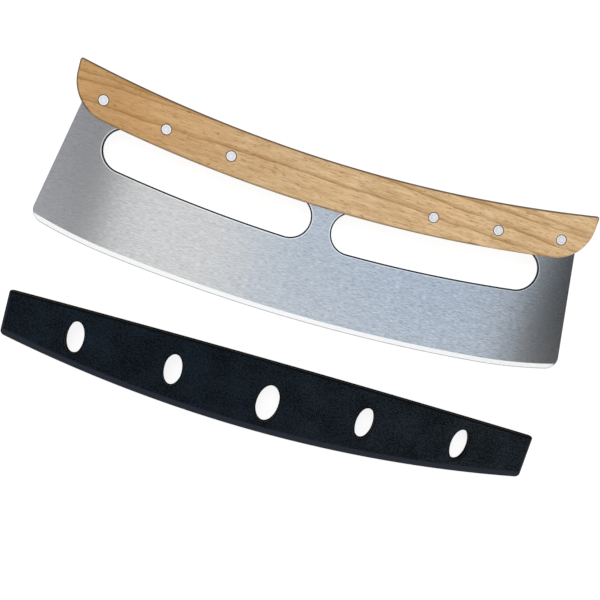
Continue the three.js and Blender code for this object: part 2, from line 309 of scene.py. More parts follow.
class Sheet:
    """A node tree with short calls for adding nodes and joining them."""

    def __init__(self, tree: NodeTree) -> None:
        """Takes the tree that the nodes go into."""
        self.tree = tree

    def give(self, socket: NodeSocket, value: object) -> None:
        """Feeds an input.

        Args:
            socket: The input.
            value: An output to link to it, or its value. A colour comes without alpha.
        """
        if isinstance(value, NodeSocket):
            self.tree.links.new(value, socket)
        else:
            socket.default_value = (*value, 1) if socket.type == "RGBA" else value

    def put(self, kind: str, feeds: dict | None = None, **settings: object) -> Node:
        """Adds a node.

        Args:
            kind: Blender's name for the type of node.
            feeds: Values or outputs for its inputs, by name or number.
            settings: Properties of the node.

        Returns:
            The node.
        """
        node = self.tree.nodes.new(kind)
        for name, value in settings.items():
            setattr(node, name, value)
        for name, value in (feeds or {}).items():
            self.give(node.inputs[name], value)
        return node

    def shade(self, kind: str, feeds: dict | None = None, **settings: object) -> NodeSocket:
        """The first output of a new ShaderNode."""
        return self.put(f"ShaderNode{kind}", feeds, **settings).outputs[0]

    def form(self, kind: str, feeds: dict | None = None, **settings: object) -> NodeSocket:
        """The first output of a new GeometryNode."""
        return self.put(f"GeometryNode{kind}", feeds, **settings).outputs[0]

    def sum(self, operation: str, *terms: object) -> NodeSocket:
        """A Math node's result."""
        return self.shade("Math", dict(enumerate(terms)), operation=operation)

    def plus(self, one: object, two: object) -> NodeSocket:
        """One number and another."""
        return self.sum("ADD", one, two)

    def minus(self, one: object, two: object) -> NodeSocket:
        """One number less another."""
        return self.sum("SUBTRACT", one, two)

    def times(self, one: object, two: object) -> NodeSocket:
        """One number times another."""
        return self.sum("MULTIPLY", one, two)

    def fall(self, radius: NodeSocket, x: NodeSocket) -> NodeSocket:
        """How far a circle has fallen away from its tangent at x."""
        square = self.minus(self.times(radius, radius), self.times(x, x))
        return self.minus(radius, self.sum("SQRT", square))

    def xyz(self, *parts: object) -> NodeSocket:
        """A vector of up to three numbers."""
        return self.shade("CombineXYZ", dict(enumerate(parts)))

    def split(self, vector: NodeSocket) -> list[NodeSocket]:
        """The three numbers of a vector."""
        return list(self.put("ShaderNodeSeparateXYZ", {0: vector}).outputs)

    def remap(
        self, value: object, low: float, high: float, start: float = 0.0, end: float = 1.0
    ) -> NodeSocket:
        """A value that runs from low to high, spread between start and end and held there."""
        feeds = {"Value": value, "From Min": low, "From Max": high, "To Min": start, "To Max": end}
        return self.shade("MapRange", feeds)

    def noise(self, place: NodeSocket, scale: object, detail: object, rough: float = 0.5) -> NodeSocket:
        """A noise texture, from 0 to 1."""
        feeds = {"Vector": place, "Scale": scale, "Detail": detail, "Roughness": rough}
        return self.shade("TexNoise", feeds)

    def ramp(self, factor: NodeSocket, stops: list[tuple[float, tuple]]) -> NodeSocket:
        """A colour ramp.

        Args:
            factor: Where on the ramp, from 0 to 1.
            stops: Places and linear colours.

        Returns:
            The colour.
        """
        node = self.put("ShaderNodeValToRGB", {"Fac": factor})
        elements = node.color_ramp.elements
        while len(elements) < len(stops):
            elements.new(0.5)
        for element, (place, colour) in zip(elements, stops):
            element.position = place
            element.color = (*colour, 1)
        return node.outputs["Color"]

    def mix(self, factor: object, one: object, two: object, blend: str = "MIX") -> NodeSocket:
        """A mix of two colours."""
        feeds = {0: factor, 6: one, 7: two}
        return self.put("ShaderNodeMix", feeds, data_type="RGBA", blend_type=blend).outputs[2]

    def joined(self, parts: list[NodeSocket]) -> NodeSocket:
        """Geometries or curves put together.

        Args:
            parts: The parts, in their order.

        Returns:
            All of them.
        """
        node = self.put("GeometryNodeJoinGeometry")
        for part in parts:
            self.give(node.inputs[0], part)
        return node.outputs[0]

    def shape_of(self, thing: NodeSocket) -> NodeSocket:
        """The geometry of an object."""
        return self.put("GeometryNodeObjectInfo", {"Object": thing}).outputs["Geometry"]

    def set_out(self, points: NodeSocket, shape: NodeSocket, **feeds: object) -> NodeSocket:
        """A real copy of a shape at each point."""
        spots = self.form("InstanceOnPoints", {"Points": points, "Instance": shape, **feeds})
        return self.form("RealizeInstances", {0: spots})

    def ended(self, outputs: dict) -> NodeTree:
        """Feeds the outputs of a group and returns its tree."""
        self.put("NodeGroupOutput", outputs)
        return self.tree

    def dressed(self, name: str, shape: NodeSocket, finish: NodeSocket) -> NodeTree:
        """Ends a geometry group.

        Args:
            name: The group's output.
            shape: What the group has made.
            finish: Its material.

        Returns:
            The group's tree.
        """
        real = self.form("RealizeInstances", {0: shape})
        return self.ended({name: self.form("SetMaterial", {0: real, "Material": finish})})


NUMBER = "NodeSocketFloat"
WHOLE_NUMBER = "NodeSocketInt"
DIRECTION = "NodeSocketVector"
SHAPE = "NodeSocketGeometry"
THING = "NodeSocketObject"
FINISH = "NodeSocketMaterial"


def group_with(kind: str, name: str, inputs: dict, outputs: dict) -> tuple[Sheet, dict]:
    """A new node group with its sockets.

    Args:
        kind: Shader or Geometry.
        name: The name of the group.
        inputs: For each input a value, or its socket type where it has none.
        outputs: The socket type of each output.

    Returns:
        A sheet to build the group on, and what its inputs bring in, by name.
    """
    tree = bpy.data.node_groups.new(name, f"{kind}NodeTree")
    for title, given in inputs.items():
        socket_type = {float: NUMBER, int: WHOLE_NUMBER}.get(type(given), given)
        socket = tree.interface.new_socket(title, in_out="INPUT", socket_type=socket_type)
        if socket_type != given:
            socket.default_value = given
    for title, socket_type in outputs.items():
        tree.interface.new_socket(title, in_out="OUTPUT", socket_type=socket_type)
    sheet = Sheet(tree)
    brought = sheet.put("NodeGroupInput").outputs
    return sheet, {title: brought[title] for title in inputs}


def grain_group() -> NodeTree:
    """Fine lines along X: brushing on steel, fibres in wood and moulding marks in plastic.

    Returns:
        The group's tree.
    """
    sheet, into = group_with(
        "Shader",
        "Lined grain",
        {
            "Place": DIRECTION,
            "Lines per Metre": 1500.0,
            "Stretch": 40.0,
            "Detail": 4.0,
            "Contrast": 1.0,
        },
        {"Line": NUMBER},
    )
    across = into["Lines per Metre"]
    scales = sheet.xyz(sheet.sum("DIVIDE", across, into["Stretch"]), across, across)
    place = sheet.shade("VectorMath", {0: into["Place"], 1: scales}, operation="MULTIPLY")
    centred = sheet.minus(sheet.noise(place, 1.0, into["Detail"], 0.55), 0.5)
    spread = sheet.sum("MULTIPLY_ADD", centred, into["Contrast"], 0.5)
    return sheet.ended({"Line": sheet.shade("Clamp", {"Value": spread})})


def edge_group() -> NodeTree:
    """Painted shade and highlight where a piece carries tone, broken up by a soft noise.

    Returns:
        The group's tree.
    """
    sheet, into = group_with(
        "Shader",
        "Edge tone",
        {"Place": DIRECTION, "Patch Scale": 300.0, "Break Up": 0.3, "Strength": 1.0},
        {"Mask": NUMBER},
    )
    tone = sheet.put("ShaderNodeAttribute", attribute_name="tone").outputs["Fac"]
    noise = sheet.noise(into["Place"], into["Patch Scale"], 3.0)
    kept = sheet.minus(1.0, sheet.times(noise, into["Break Up"]))
    mask = sheet.times(sheet.times(tone, kept), into["Strength"])
    return sheet.ended({"Mask": sheet.shade("Clamp", {"Value": mask})})


def mottle_group() -> NodeTree:
    """Soft patches of lighter and darker tone, and fine specks.

    Returns:
        The group's tree.
    """
    sheet, into = group_with(
        "Shader",
        "Mottle",
        {"Place": DIRECTION, "Patch Scale": 60.0, "Speck Scale": 1500.0},
        {"Patch": NUMBER, "Speck": NUMBER},
    )
    patch = sheet.noise(into["Place"], into["Patch Scale"], 2.0)
    return sheet.ended({"Patch": patch, "Speck": sheet.noise(into["Place"], into["Speck Scale"], 1.0)})


class Effects:
    """The shader groups that the finishes share, each built once."""

    def __init__(self) -> None:
        """Builds the groups."""
        self.grain = grain_group()
        self.edge = edge_group()
        self.mottle = mottle_group()


class Coat(Sheet):
    """A new material, with short calls for the shared effects."""

    def __init__(self, name: str, effects: Effects) -> None:
        """Starts the material.

        Args:
            name: Its name.
            effects: The shared groups.
        """
        self.effects = effects
        self.material = bpy.data.materials.new(name)
        self.material.use_nodes = True
        super().__init__(self.material.node_tree)
        self.shader = self.tree.nodes["Principled BSDF"]
        self.place = self.put("ShaderNodeTexCoord").outputs["Object"]

    def effect(self, group: NodeTree, *values: float) -> list[NodeSocket]:
        """Places a shared group.

        Args:
            group: The group.
            values: A value for each of its inputs after Place, in their order.

        Returns:
            Its outputs.
        """
        node = self.put("ShaderNodeGroup", node_tree=group)
        for socket, value in zip(node.inputs, (self.place, *values)):
            self.give(socket, value)
        return list(node.outputs)

    def grain(self, lines: float, stretch: float, detail: float, contrast: float) -> NodeSocket:
        """Lines along X, from 0 to 1."""
        return self.effect(self.effects.grain, lines, stretch, detail, contrast)[0]

    def edge(self, patch_scale: float, break_up: float, strength: float) -> NodeSocket:
        """Where the piece carries painted shade and highlight, from 0 to 1."""
        return self.effect(self.effects.edge, patch_scale, break_up, strength)[0]

    def mottle(self, patch_scale: float, speck_scale: float) -> list[NodeSocket]:
        """Soft patches and fine specks, each from 0 to 1."""
        return self.effect(self.effects.mottle, patch_scale, speck_scale)

    def turned(self, degrees: float, shift: tuple) -> None:
        """Turns and shifts the pattern on the piece."""
        angle = (0, 0, math.radians(degrees))
        self.place = self.shade("Mapping", {"Vector": self.place, "Rotation": angle, "Location": shift})

    def levels(self, value: NodeSocket, low: float, high: float) -> NodeSocket:
        """A value from 0 to 1 spread between two numbers."""
        return self.remap(value, 0.0, 1.0, low, high)

    def feed(self, **feeds: object) -> None:
        """Sets or links inputs of the shader; an underscore stands for a space."""
        for name, value in feeds.items():
            self.give(self.shader.inputs[name.replace("_", " ")], value)

    def bump(self, height: NodeSocket, depth: float) -> None:
        """Raises the surface by a pattern, with its depth in metres."""
        self.feed(Normal=self.shade("Bump", {"Height": height, "Distance": depth, "Strength": 1.0}))


@dataclass(frozen=True)
class Steel:
    """Stainless steel, brushed, ground or cut.

    Attributes:
        name: The name of the material.
        dark: Linear colour at the bottom of the brush lines.
        light: Linear colour at their top.
        roughness: Lowest and highest roughness.
        lines: Brush lines per metre.
        stretch: How much longer than wide a line is.
        brushed: How strongly the lines draw out a highlight.
        depth: Depth of the lines in metres.
        fine: Detail and contrast of the fine lines.
        broad: The same for lines of twice their width.
        fine_share: Share of the fine lines in both.
        stops: Where on the lines the dark colour ends and the light one starts.
        edge_mask: Patch scale, break-up and strength of the lighter edges.
        span: Where along X the contrast starts and ends to change.
        contrast: Contrast of the lines at these places.
    """

    name: str
    dark: tuple
    light: tuple
    roughness: tuple = (0.12, 0.22)
    lines: float = 2500.0
    stretch: float = 8.0
    brushed: float = 0.8
    depth: float = 0.004 * MM
    fine: tuple = (3.0, 2.0)
    broad: tuple = (2.0, 1.7)
    fine_share: float = 0.65
    stops: tuple = (0.2, 0.8)
    edge_mask: tuple = (300.0, 0.4, 0.6)
    span: tuple = (-0.06, 0.06)
    contrast: tuple = (0.66, 1.15)

    def material(self, effects: Effects) -> Material:
        """Builds the material.

        Args:
            effects: The shared groups.

        Returns:
            The material.
        """
        coat = Coat(self.name, effects)
        fine = coat.times(coat.grain(self.lines, self.stretch, *self.fine), self.fine_share)
        broad = coat.grain(self.lines / 2, self.stretch, *self.broad)
        line = coat.sum("MULTIPLY_ADD", broad, 1 - self.fine_share, fine)
        contrast = coat.remap(coat.split(coat.place)[0], *self.span, *self.contrast)
        line = coat.sum("MULTIPLY_ADD", coat.minus(line, 0.5), contrast, 0.5)
        tone = coat.ramp(line, list(zip(self.stops, (self.dark, self.light))))
        coat.feed(
            Base_Color=coat.mix(coat.edge(*self.edge_mask), tone, self.light),
            Metallic=1.0,
            Roughness=coat.levels(line, self.roughness[1], self.roughness[0]),
            Anisotropic=self.brushed,
            Anisotropic_Rotation=0.25,
            Tangent=coat.shade("Tangent", direction_type="UV_MAP", uv_map="flat"),
        )
        coat.bump(line, self.depth)
        return coat.material


@dataclass(frozen=True)
class OiledWood:
    """Light oiled rubberwood with its grain along X.

    Attributes:
        name: The name of the material.
        turn: Degrees by which the grain leaves the line of the handle.
        shift: Where in the log this board was cut, in metres.
        face: Height of the board's outer face.
        streaks: Each dark growth line's height, lean, strength and width.
        slant: How far the growth lines lean through the board's thickness.
        fibre: Lines per metre, stretch, detail and contrast of the fibres.
        figure: The same for the broad figure.
        pores: The same for the pores.
        pale: Linear colour of the clean wood.
        amber: Colour of the figure, and of the wood towards the left end.
        streak: Colour of the fibres.
        growth: Colour of the growth lines.
        pore: Colour of the pores.
        rim: Colour of the painted shade along the rim and in the rivet seats.
        amber_side: Where along X the amber of the left end starts and ends to fade, and its share.
        figure_share: Share of the amber in the figure.
        fibre_share: Share of the streak colour in the fibres.
        clouds: Scale of the soft patches, and their lowest and highest gain.
        pore_span: Where on the pores' lines a pore starts and is full.
        pore_share: Share of its colour in a full pore.
        wander: Scale of the growth lines' long and short waves.
        sway: Their height in metres.
        onset: Width over which a growth line sets in.
        fade: Power with which it fades.
        unbroken: What the figure leaves of a growth line at least.
        edge_mask: Patch scale, break-up and strength of the painted shade along the rim.
        roughness: Lowest and highest roughness.
        sheen: Strength of the mirror reflection.
        relief: Depth of the fibres, and how many times deeper a pore is.
    """

    name: str
    turn: float
    shift: tuple
    face: float
    streaks: tuple
    slant: float = 0.6
    fibre: tuple = (1500.0, 14.0, 3.0, 2.6)
    figure: tuple = (330.0, 9.0, 4.0, 2.6)
    pores: tuple = (1500.0, 6.0, 1.0, 1.9)
    pale: tuple = (0.84, 0.617, 0.362)
    amber: tuple = (0.53, 0.285, 0.103)
    streak: tuple = (0.35, 0.178, 0.05)
    growth: tuple = (0.30, 0.135, 0.02)
    pore: tuple = (0.25, 0.105, 0.025)
    rim: tuple = (0.085, 0.055, 0.035)
    amber_side: tuple = (-0.13, -0.03, 0.75)
    figure_share: float = 0.55
    fibre_share: float = 0.5
    clouds: tuple = (22.0, 0.86, 1.14)
    pore_span: tuple = (0.72, 0.84)
    pore_share: float = 0.55
    wander: tuple = (11.0, 60.0)
    sway: tuple = (7 * MM, 1.6 * MM)
    onset: float = 0.3 * MM
    fade: float = 2.2
    unbroken: float = 0.55
    edge_mask: tuple = (120.0, 0.2, 1.0)
    roughness: tuple = (0.42, 0.58)
    sheen: float = 0.35
    relief: tuple = (0.02 * MM, 1.5)

    def material(self, effects: Effects) -> Material:
        """Builds the material.

        Args:
            effects: The shared groups.

        Returns:
            The material.
        """
        coat = Coat(self.name, effects)
        along, _, height = coat.split(coat.place)
        coat.turned(self.turn, self.shift)
        fibre, figure, pores = (coat.grain(*lines) for lines in (self.fibre, self.figure, self.pores))
        ground = coat.mix(coat.remap(along, *self.amber_side, 0.0), self.pale, self.amber)
        ground = coat.mix(coat.levels(figure, 0.0, self.figure_share), ground, self.amber)
        ground = coat.mix(coat.levels(fibre, 0.0, self.fibre_share), ground, self.streak)
        scale, *gains = self.clouds
        lift = coat.levels(coat.mottle(scale, scale)[0], *gains)
        shade = coat.shade("CombineColor", {0: lift, 1: lift, 2: lift})
        ground = coat.mix(1.0, ground, shade, "MULTIPLY")
        sunk = coat.times(coat.minus(height, self.face), self.slant)
        ground = coat.mix(self.growth_lines(coat, figure, sunk), ground, self.growth)
        pore = coat.remap(pores, *self.pore_span, 0.0, self.pore_share)
        ground = coat.mix(pore, ground, self.pore)
        # The rim colour is painted shade, laid where the scale's tone marks the rim and the rivet seats.
        coat.feed(
            Base_Color=coat.mix(coat.edge(*self.edge_mask), ground, self.rim),
            Roughness=coat.levels(fibre, *self.roughness),
            Specular_IOR_Level=self.sheen,
        )
        depth, deeper = self.relief
        coat.bump(coat.minus(fibre, coat.times(pore, deeper)), depth)
        return coat.material

    def growth_lines(self, coat: Coat, figure: NodeSocket, sunk: NodeSocket) -> NodeSocket:
        """The few long dark lines, each sharp below and soft above.

        Args:
            coat: The material.
            figure: The broad figure, which breaks the lines up.
            sunk: How much lower a line lies at this depth in the board.

        Returns:
            A mask, from 0 to 1.
        """
        along, height, _ = coat.split(coat.place)
        long, short = coat.mottle(*self.wander)
        wave = coat.times(coat.minus(long, 0.5), self.sway[0])
        wave = coat.plus(wave, coat.times(coat.minus(short, 0.5), self.sway[1]))
        level = coat.plus(coat.plus(height, wave), sunk)
        total: object = 0.0
        for place, lean, strength, width in self.streaks:
            above = coat.minus(level, coat.sum("MULTIPLY_ADD", along, lean, place))
            soft = coat.sum("POWER", coat.remap(above, 0.0, width, strength, 0.0), self.fade)
            sharp = coat.remap(above, -self.onset, 0.0)
            total = coat.sum("MAXIMUM", total, coat.times(soft, sharp))
        return coat.times(total, coat.levels(figure, self.unbroken, 1.0))


@dataclass(frozen=True)
class MouldedPlastic:
    """Black polypropylene with a fine spark-eroded texture.

    Attributes:
        name: The name of the material.
        base: Linear colour of the faces.
        edge: Colour of the painted highlight along the bottom and the ends.
        shade: Colour of the painted shade on the edges of the mouth, the windows and the rim.
        right_end_gain: Gain on the colour towards the right end.
        right_end_span: Where along X that gain starts and is full.
        mottle: Scales of its patches and specks.
        speck_share: Share of the specks in both.
        spread: Places on both, and the gain on the colour at each.
        pale: Patch scale, break-up and strength of the painted highlight.
        dark: The same for the painted shade, which the edges carry as tones below 0.
        flow: Lines per metre, stretch, detail and contrast of the flow marks.
        roughness: Lowest and highest roughness.
        sheen: Strength of the mirror reflection.
        relief: Depth of the texture.
    """

    name: str
    base: tuple = (0.0042, 0.0082, 0.0128)
    edge: tuple = (0.021, 0.025, 0.036)
    shade: tuple = (0.0002, 0.0003, 0.0005)
    right_end_gain: tuple = (1.8, 1.33, 1.12)
    right_end_span: tuple = (-0.03, 0.13)
    mottle: tuple = (60.0, 1000.0)
    speck_share: float = 0.7
    spread: tuple = ((0.38, 0.15), (0.64, 2.1))
    pale: tuple = (90.0, 0.35, 1.1)
    dark: tuple = (90.0, 0.1, -1.0)
    flow: tuple = (300.0, 4.0, 2.0, 1.0)
    roughness: tuple = (0.5, 0.62)
    sheen: float = 0.06
    relief: float = 0.03 * MM

    def material(self, effects: Effects) -> Material:
        """Builds the material.

        Args:
            effects: The shared groups.

        Returns:
            The material.
        """
        coat = Coat(self.name, effects)
        patch, speck = coat.mottle(*self.mottle)
        lift = coat.sum("MULTIPLY_ADD", patch, 1 - self.speck_share, coat.times(speck, self.speck_share))
        stops = [(place, tuple(gain * part for part in self.base)) for place, gain in self.spread]
        tone = coat.ramp(lift, stops)
        along = coat.split(coat.place)[0]
        # Lighter towards the right end.
        tone = coat.mix(coat.remap(along, *self.right_end_span), tone, self.right_end_gain, "MULTIPLY")
        # Painted highlight along the rounded bottom and the ends.
        tone = coat.mix(coat.edge(*self.pale), tone, self.edge)
        # Painted shade on the edges of the mouth, the windows and the rim.
        coat.feed(
            Base_Color=coat.mix(coat.edge(*self.dark), tone, self.shade),
            Roughness=coat.levels(coat.grain(*self.flow), *self.roughness),
            Specular_IOR_Level=self.sheen,
        )
        coat.bump(speck, self.relief)
        return coat.material


@dataclass(frozen=True)
class TurnedMetal:
    """Aluminium rivet heads, turned bright.

    Attributes:
        name: The name of the material.
        bright: Linear colour of the metal.
        dull: Colour in the turning marks, and of the painted shade round the dish.
        marks: Lines per metre, stretch, detail and contrast of the turning marks.
        dish: Patch scale, break-up and strength of the ring of painted shade round the dish.
        shares: Share of the dull colour in the marks and in the ring of painted shade.
        metallic: How metallic the heads are.
        roughness: Lowest and highest roughness.
        relief: Depth of the marks.
    """

    name: str
    bright: tuple = (0.97, 0.97, 0.985)
    dull: tuple = (0.70, 0.71, 0.76)
    marks: tuple = (1600.0, 2.0, 3.0, 2.2)
    dish: tuple = (500.0, 0.2, 1.0)
    shares: tuple = (0.45, 0.6)
    metallic: float = 0.4
    roughness: tuple = (0.34, 0.46)
    relief: float = 0.003 * MM

    def material(self, effects: Effects) -> Material:
        """Builds the material.

        Args:
            effects: The shared groups.

        Returns:
            The material.
        """
        coat = Coat(self.name, effects)
        fine = coat.grain(*self.marks)
        # A ring of painted shade round each head's dish, from the tone of the heads.
        ring = coat.times(coat.edge(*self.dish), self.shares[1])
        marks_and_ring_shade = coat.sum("MULTIPLY_ADD", fine, self.shares[0], ring)
        coat.feed(
            Base_Color=coat.mix(marks_and_ring_shade, self.bright, self.dull),
            Metallic=self.metallic,
            Roughness=coat.levels(fine, *self.roughness),
        )
        coat.bump(fine, self.relief)
        return coat.material


# The handle


@dataclass
class Handle:
    """The band that both scales and the tang share, with its rivets.

    Attributes:
        length: From end to end.
        height: Across the band.
        bend: Radius of the circle that the band's middle follows.
        corner: Radius of the two lower corners.
        tip: Radius of the two upper corners.
        least_tip: What is left of that radius when the outline is drawn in.
        scale_thickness: Thickness of one scale.
        blade_thickness: Thickness of the steel between them.
        scale_edge: Radius along a scale's outer edge.
        long_steps: Points along the upper or lower edge of one half.
        short_steps: Points round a lower corner.
        tip_steps: Points round an upper corner.
        rivet_insets: From the handle's end to its inner, middle and outer rivet.
        rivet_drop: From the band's middle down to the rivets.
    """

    length: float = 337 * MM
    height: float = 29.3 * MM
    bend: float = 915 * MM
    corner: float = 25 * MM
    tip: float = 1.6 * MM
    least_tip: float = 0.2 * MM
    scale_thickness: float = 8.5 * MM
    blade_thickness: float = 1.5 * MM
    scale_edge: float = 1.5 * MM
    long_steps: int = 96
    short_steps: int = 22
    tip_steps: int = 8
    rivet_insets: tuple = (102.3 * MM, 60.1 * MM, 19.3 * MM)
    rivet_drop: float = 2.8 * MM

    @property
    def thickness(self) -> float:
        """Both scales and the tang."""
        return 2 * self.scale_thickness + self.blade_thickness

    @property
    def centre(self) -> tuple:
        """The middle of the circles that the band follows."""
        return (0.0, self.bend)

    @property
    def corner_centre(self) -> np.ndarray:
        """The middle of the right lower corner."""
        radius = self.bend + self.height / 2 - self.corner
        return low_point(self.centre, radius, self.length / 2 - self.corner)

    def top(self, inset: float) -> Loop:
        """The right half of the upper edge with its tip, drawn in.

        Args:
            inset: By how much it is drawn in.

        Returns:
            Its points, clockwise from the middle.
        """
        radius = self.bend - self.height / 2 + inset
        tip_radius = max(self.tip - inset, self.least_tip)
        tip = low_point(self.centre, radius + tip_radius, self.length / 2 - inset - tip_radius)
        angle = angle_of(self.centre, tip)
        upper = arc(self.centre, radius, DOWN, angle, self.long_steps)
        return np.vstack([upper, arc(tip, tip_radius, angle + math.pi, 0, self.tip_steps)[1:]])

    def outline(self) -> Loop:
        """The whole outline.

        Returns:
            Its points, counterclockwise.
        """
        angle = angle_of(self.centre, self.corner_centre)
        corner = arc(self.corner_centre, self.corner, 0, angle, self.short_steps)
        lower = arc(self.centre, self.bend + self.height / 2, angle, DOWN, self.long_steps)
        return closed(np.vstack([self.top(0.0), corner, lower[1:]]))

    def rivets(self) -> list[np.ndarray]:
        """The rivets' places from left to right.

        Returns:
            Six points.
        """
        right = [self.length / 2 - inset for inset in self.rivet_insets]
        places = [-x for x in reversed(right)] + right
        return [low_point(self.centre, self.bend + self.rivet_drop, x) for x in places]


class CurveSheet(Sheet):
    """A geometry tree that sweeps profiles along flat curves and fills outlines."""

    def pushed(self, curve: NodeSocket, out: object) -> NodeSocket:
        """A counterclockwise curve pushed outwards.

        Args:
            curve: The curve.
            out: The distance.

        Returns:
            The pushed curve.
        """
        tangent = self.form("InputTangent")
        outward = self.shade("VectorMath", {0: tangent, 1: (0, 0, 1)}, operation="CROSS_PRODUCT")
        push = self.shade("VectorMath", {0: outward, "Scale": out}, operation="SCALE")
        return self.form("SetPosition", {"Geometry": curve, "Offset": push})

    def profile(self, points: list[tuple]) -> NodeSocket:
        """A polyline through points of outward distance and height.

        Args:
            points: The points.

        Returns:
            The curve.
        """
        lines = []
        for ends in zip(points, points[1:]):
            start, end = (self.xyz(x, self.times(z, -1.0)) for x, z in ends)
            lines.append(self.form("CurvePrimitiveLine", {"Start": start, "End": end}))
        return self.joined(lines)

    def swept(self, curve: NodeSocket, shape: NodeSocket) -> NodeSocket:
        """A profile swept along a curve, with its faces away from the board.

        Args:
            curve: The curve. It is kept upright, so that the profile's X points out of the outline.
            shape: The profile.

        Returns:
            The swept faces.
        """
        upright = self.form("SetCurveNormal", {0: curve}, mode="Z_UP")
        tube = self.form("CurveToMesh", {"Curve": upright, "Profile Curve": shape})
        return self.form("FlipFaces", {0: tube})

    def filled(self, curves: list[NodeSocket]) -> NodeSocket:
        """A flat face between an outline and its holes."""
        return self.form("FillCurve", {0: self.joined(curves)}, mode="TRIANGLES")

    def rings(self, centres: NodeSocket, radius: NodeSocket, sides: NodeSocket) -> NodeSocket:
        """A circle round each centre."""
        ring = self.form("CurvePrimitiveCircle", {"Resolution": sides, "Radius": radius})
        return self.set_out(centres, ring)


def swept_board_group() -> NodeTree:
    """A board whose rim is a profile swept along its outline, with stepped holes through it.

    The outline comes in as a closed curve, and the holes as points.

    Returns:
        The group's tree.
    """
    plain, into = group_with(
        "Geometry",
        "Swept board",
        {
            "Outline": SHAPE,
            "Thickness": NUMBER,
            "Edge Radius": NUMBER,
            "Edge Steps": 8,
            "Hole Centres": THING,
            "Head Radius": NUMBER,
            "Head Depth": NUMBER,
            "Shank Radius": NUMBER,
            "Hole Lip": NUMBER,
            "Hole Sides": 48,
            "Finish": FINISH,
        },
        {"Board": SHAPE},
    )
    sheet = CurveSheet(plain.tree)
    outline = into["Outline"]
    thickness = into["Thickness"]
    radius = into["Edge Radius"]
    inset = sheet.times(radius, -1.0)
    shoulder = sheet.minus(thickness, radius)
    quarter = sheet.form(
        "CurveArc",
        {
            "Resolution": sheet.plus(into["Edge Steps"], 1.0),
            "Radius": radius,
            "Start Angle": 0.0,
            "Sweep Angle": DOWN,
        },
        mode="RADIUS",
    )
    drop = sheet.xyz(inset, sheet.times(shoulder, -1.0))
    quarter = sheet.form("SetPosition", {"Geometry": quarter, "Offset": drop})
    side = sheet.profile([(0.0, 0.0), (0.0, sheet.minus(shoulder, radius)), (0.0, shoulder)])
    rim = sheet.swept(outline, sheet.joined([side, quarter]))

    centres = sheet.shape_of(into["Hole Centres"])
    mouth = sheet.plus(into["Head Radius"], into["Hole Lip"])
    mouths = sheet.rings(centres, mouth, into["Hole Sides"])
    shanks = sheet.rings(centres, into["Shank Radius"], into["Hole Sides"])
    seat = sheet.minus(thickness, into["Head Depth"])
    step = sheet.minus(into["Shank Radius"], mouth)
    lip = sheet.times(into["Hole Lip"], -1.0)
    bore = [(0.0, thickness), (lip, sheet.plus(thickness, lip)), (lip, seat), (step, seat), (step, 0.0)]
    holes = sheet.swept(mouths, sheet.profile(bore))

    top = sheet.filled([sheet.pushed(outline, inset), mouths])
    top = sheet.form("Transform", {"Geometry": top, "Translation": sheet.xyz(0.0, 0.0, thickness)})
    bottom = sheet.form("FlipFaces", {0: sheet.filled([outline, shanks])})
    parts = sheet.joined([rim, holes, top, bottom])
    board = sheet.form("MergeByDistance", {"Geometry": parts, "Distance": MERGE})
    return sheet.dressed("Board", board, into["Finish"])


def closed_curve(name: str, loop: Loop) -> Object:
    """A closed curve object through an outline.

    Args:
        name: The name of the object.
        loop: The outline.

    Returns:
        The object.
    """
    data = bpy.data.curves.new(name, "CURVE")
    data.dimensions = "3D"
    spline = data.splines.new("POLY")
    spline.points.add(len(loop) - 1)
    for target, (x, y) in zip(spline.points, loop):
        target.co = (x, y, 0, 1)
    spline.use_cyclic_u = True
    return linked(name, data)


def grown(obj: Object, tree: NodeTree, values: dict) -> Mesh:
    """Runs a geometry tree on an object and returns the plain mesh that it makes.

    Args:
        obj: The object that the tree works on.
        tree: The tree.
        values: A value for each of its named inputs. Objects among them are removed afterwards, as obj is.

    Returns:
        The mesh.
    """
    modifier = obj.modifiers.new(tree.name, "NODES")
    modifier.node_group = tree
    sockets = {item.name: item.identifier for item in tree.interface.items_tree if item.in_out == "INPUT"}
    for name, value in values.items():
        modifier[sockets[name]] = value
    bpy.context.view_layer.update()
    graph = bpy.context.evaluated_depsgraph_get()
    mesh = bpy.data.meshes.new_from_object(obj.evaluated_get(graph), depsgraph=graph)
    obj.modifiers.remove(modifier)
    for thing in (obj, *values.values()):
        if isinstance(thing, Object):
            bpy.data.objects.remove(thing)
    return mesh


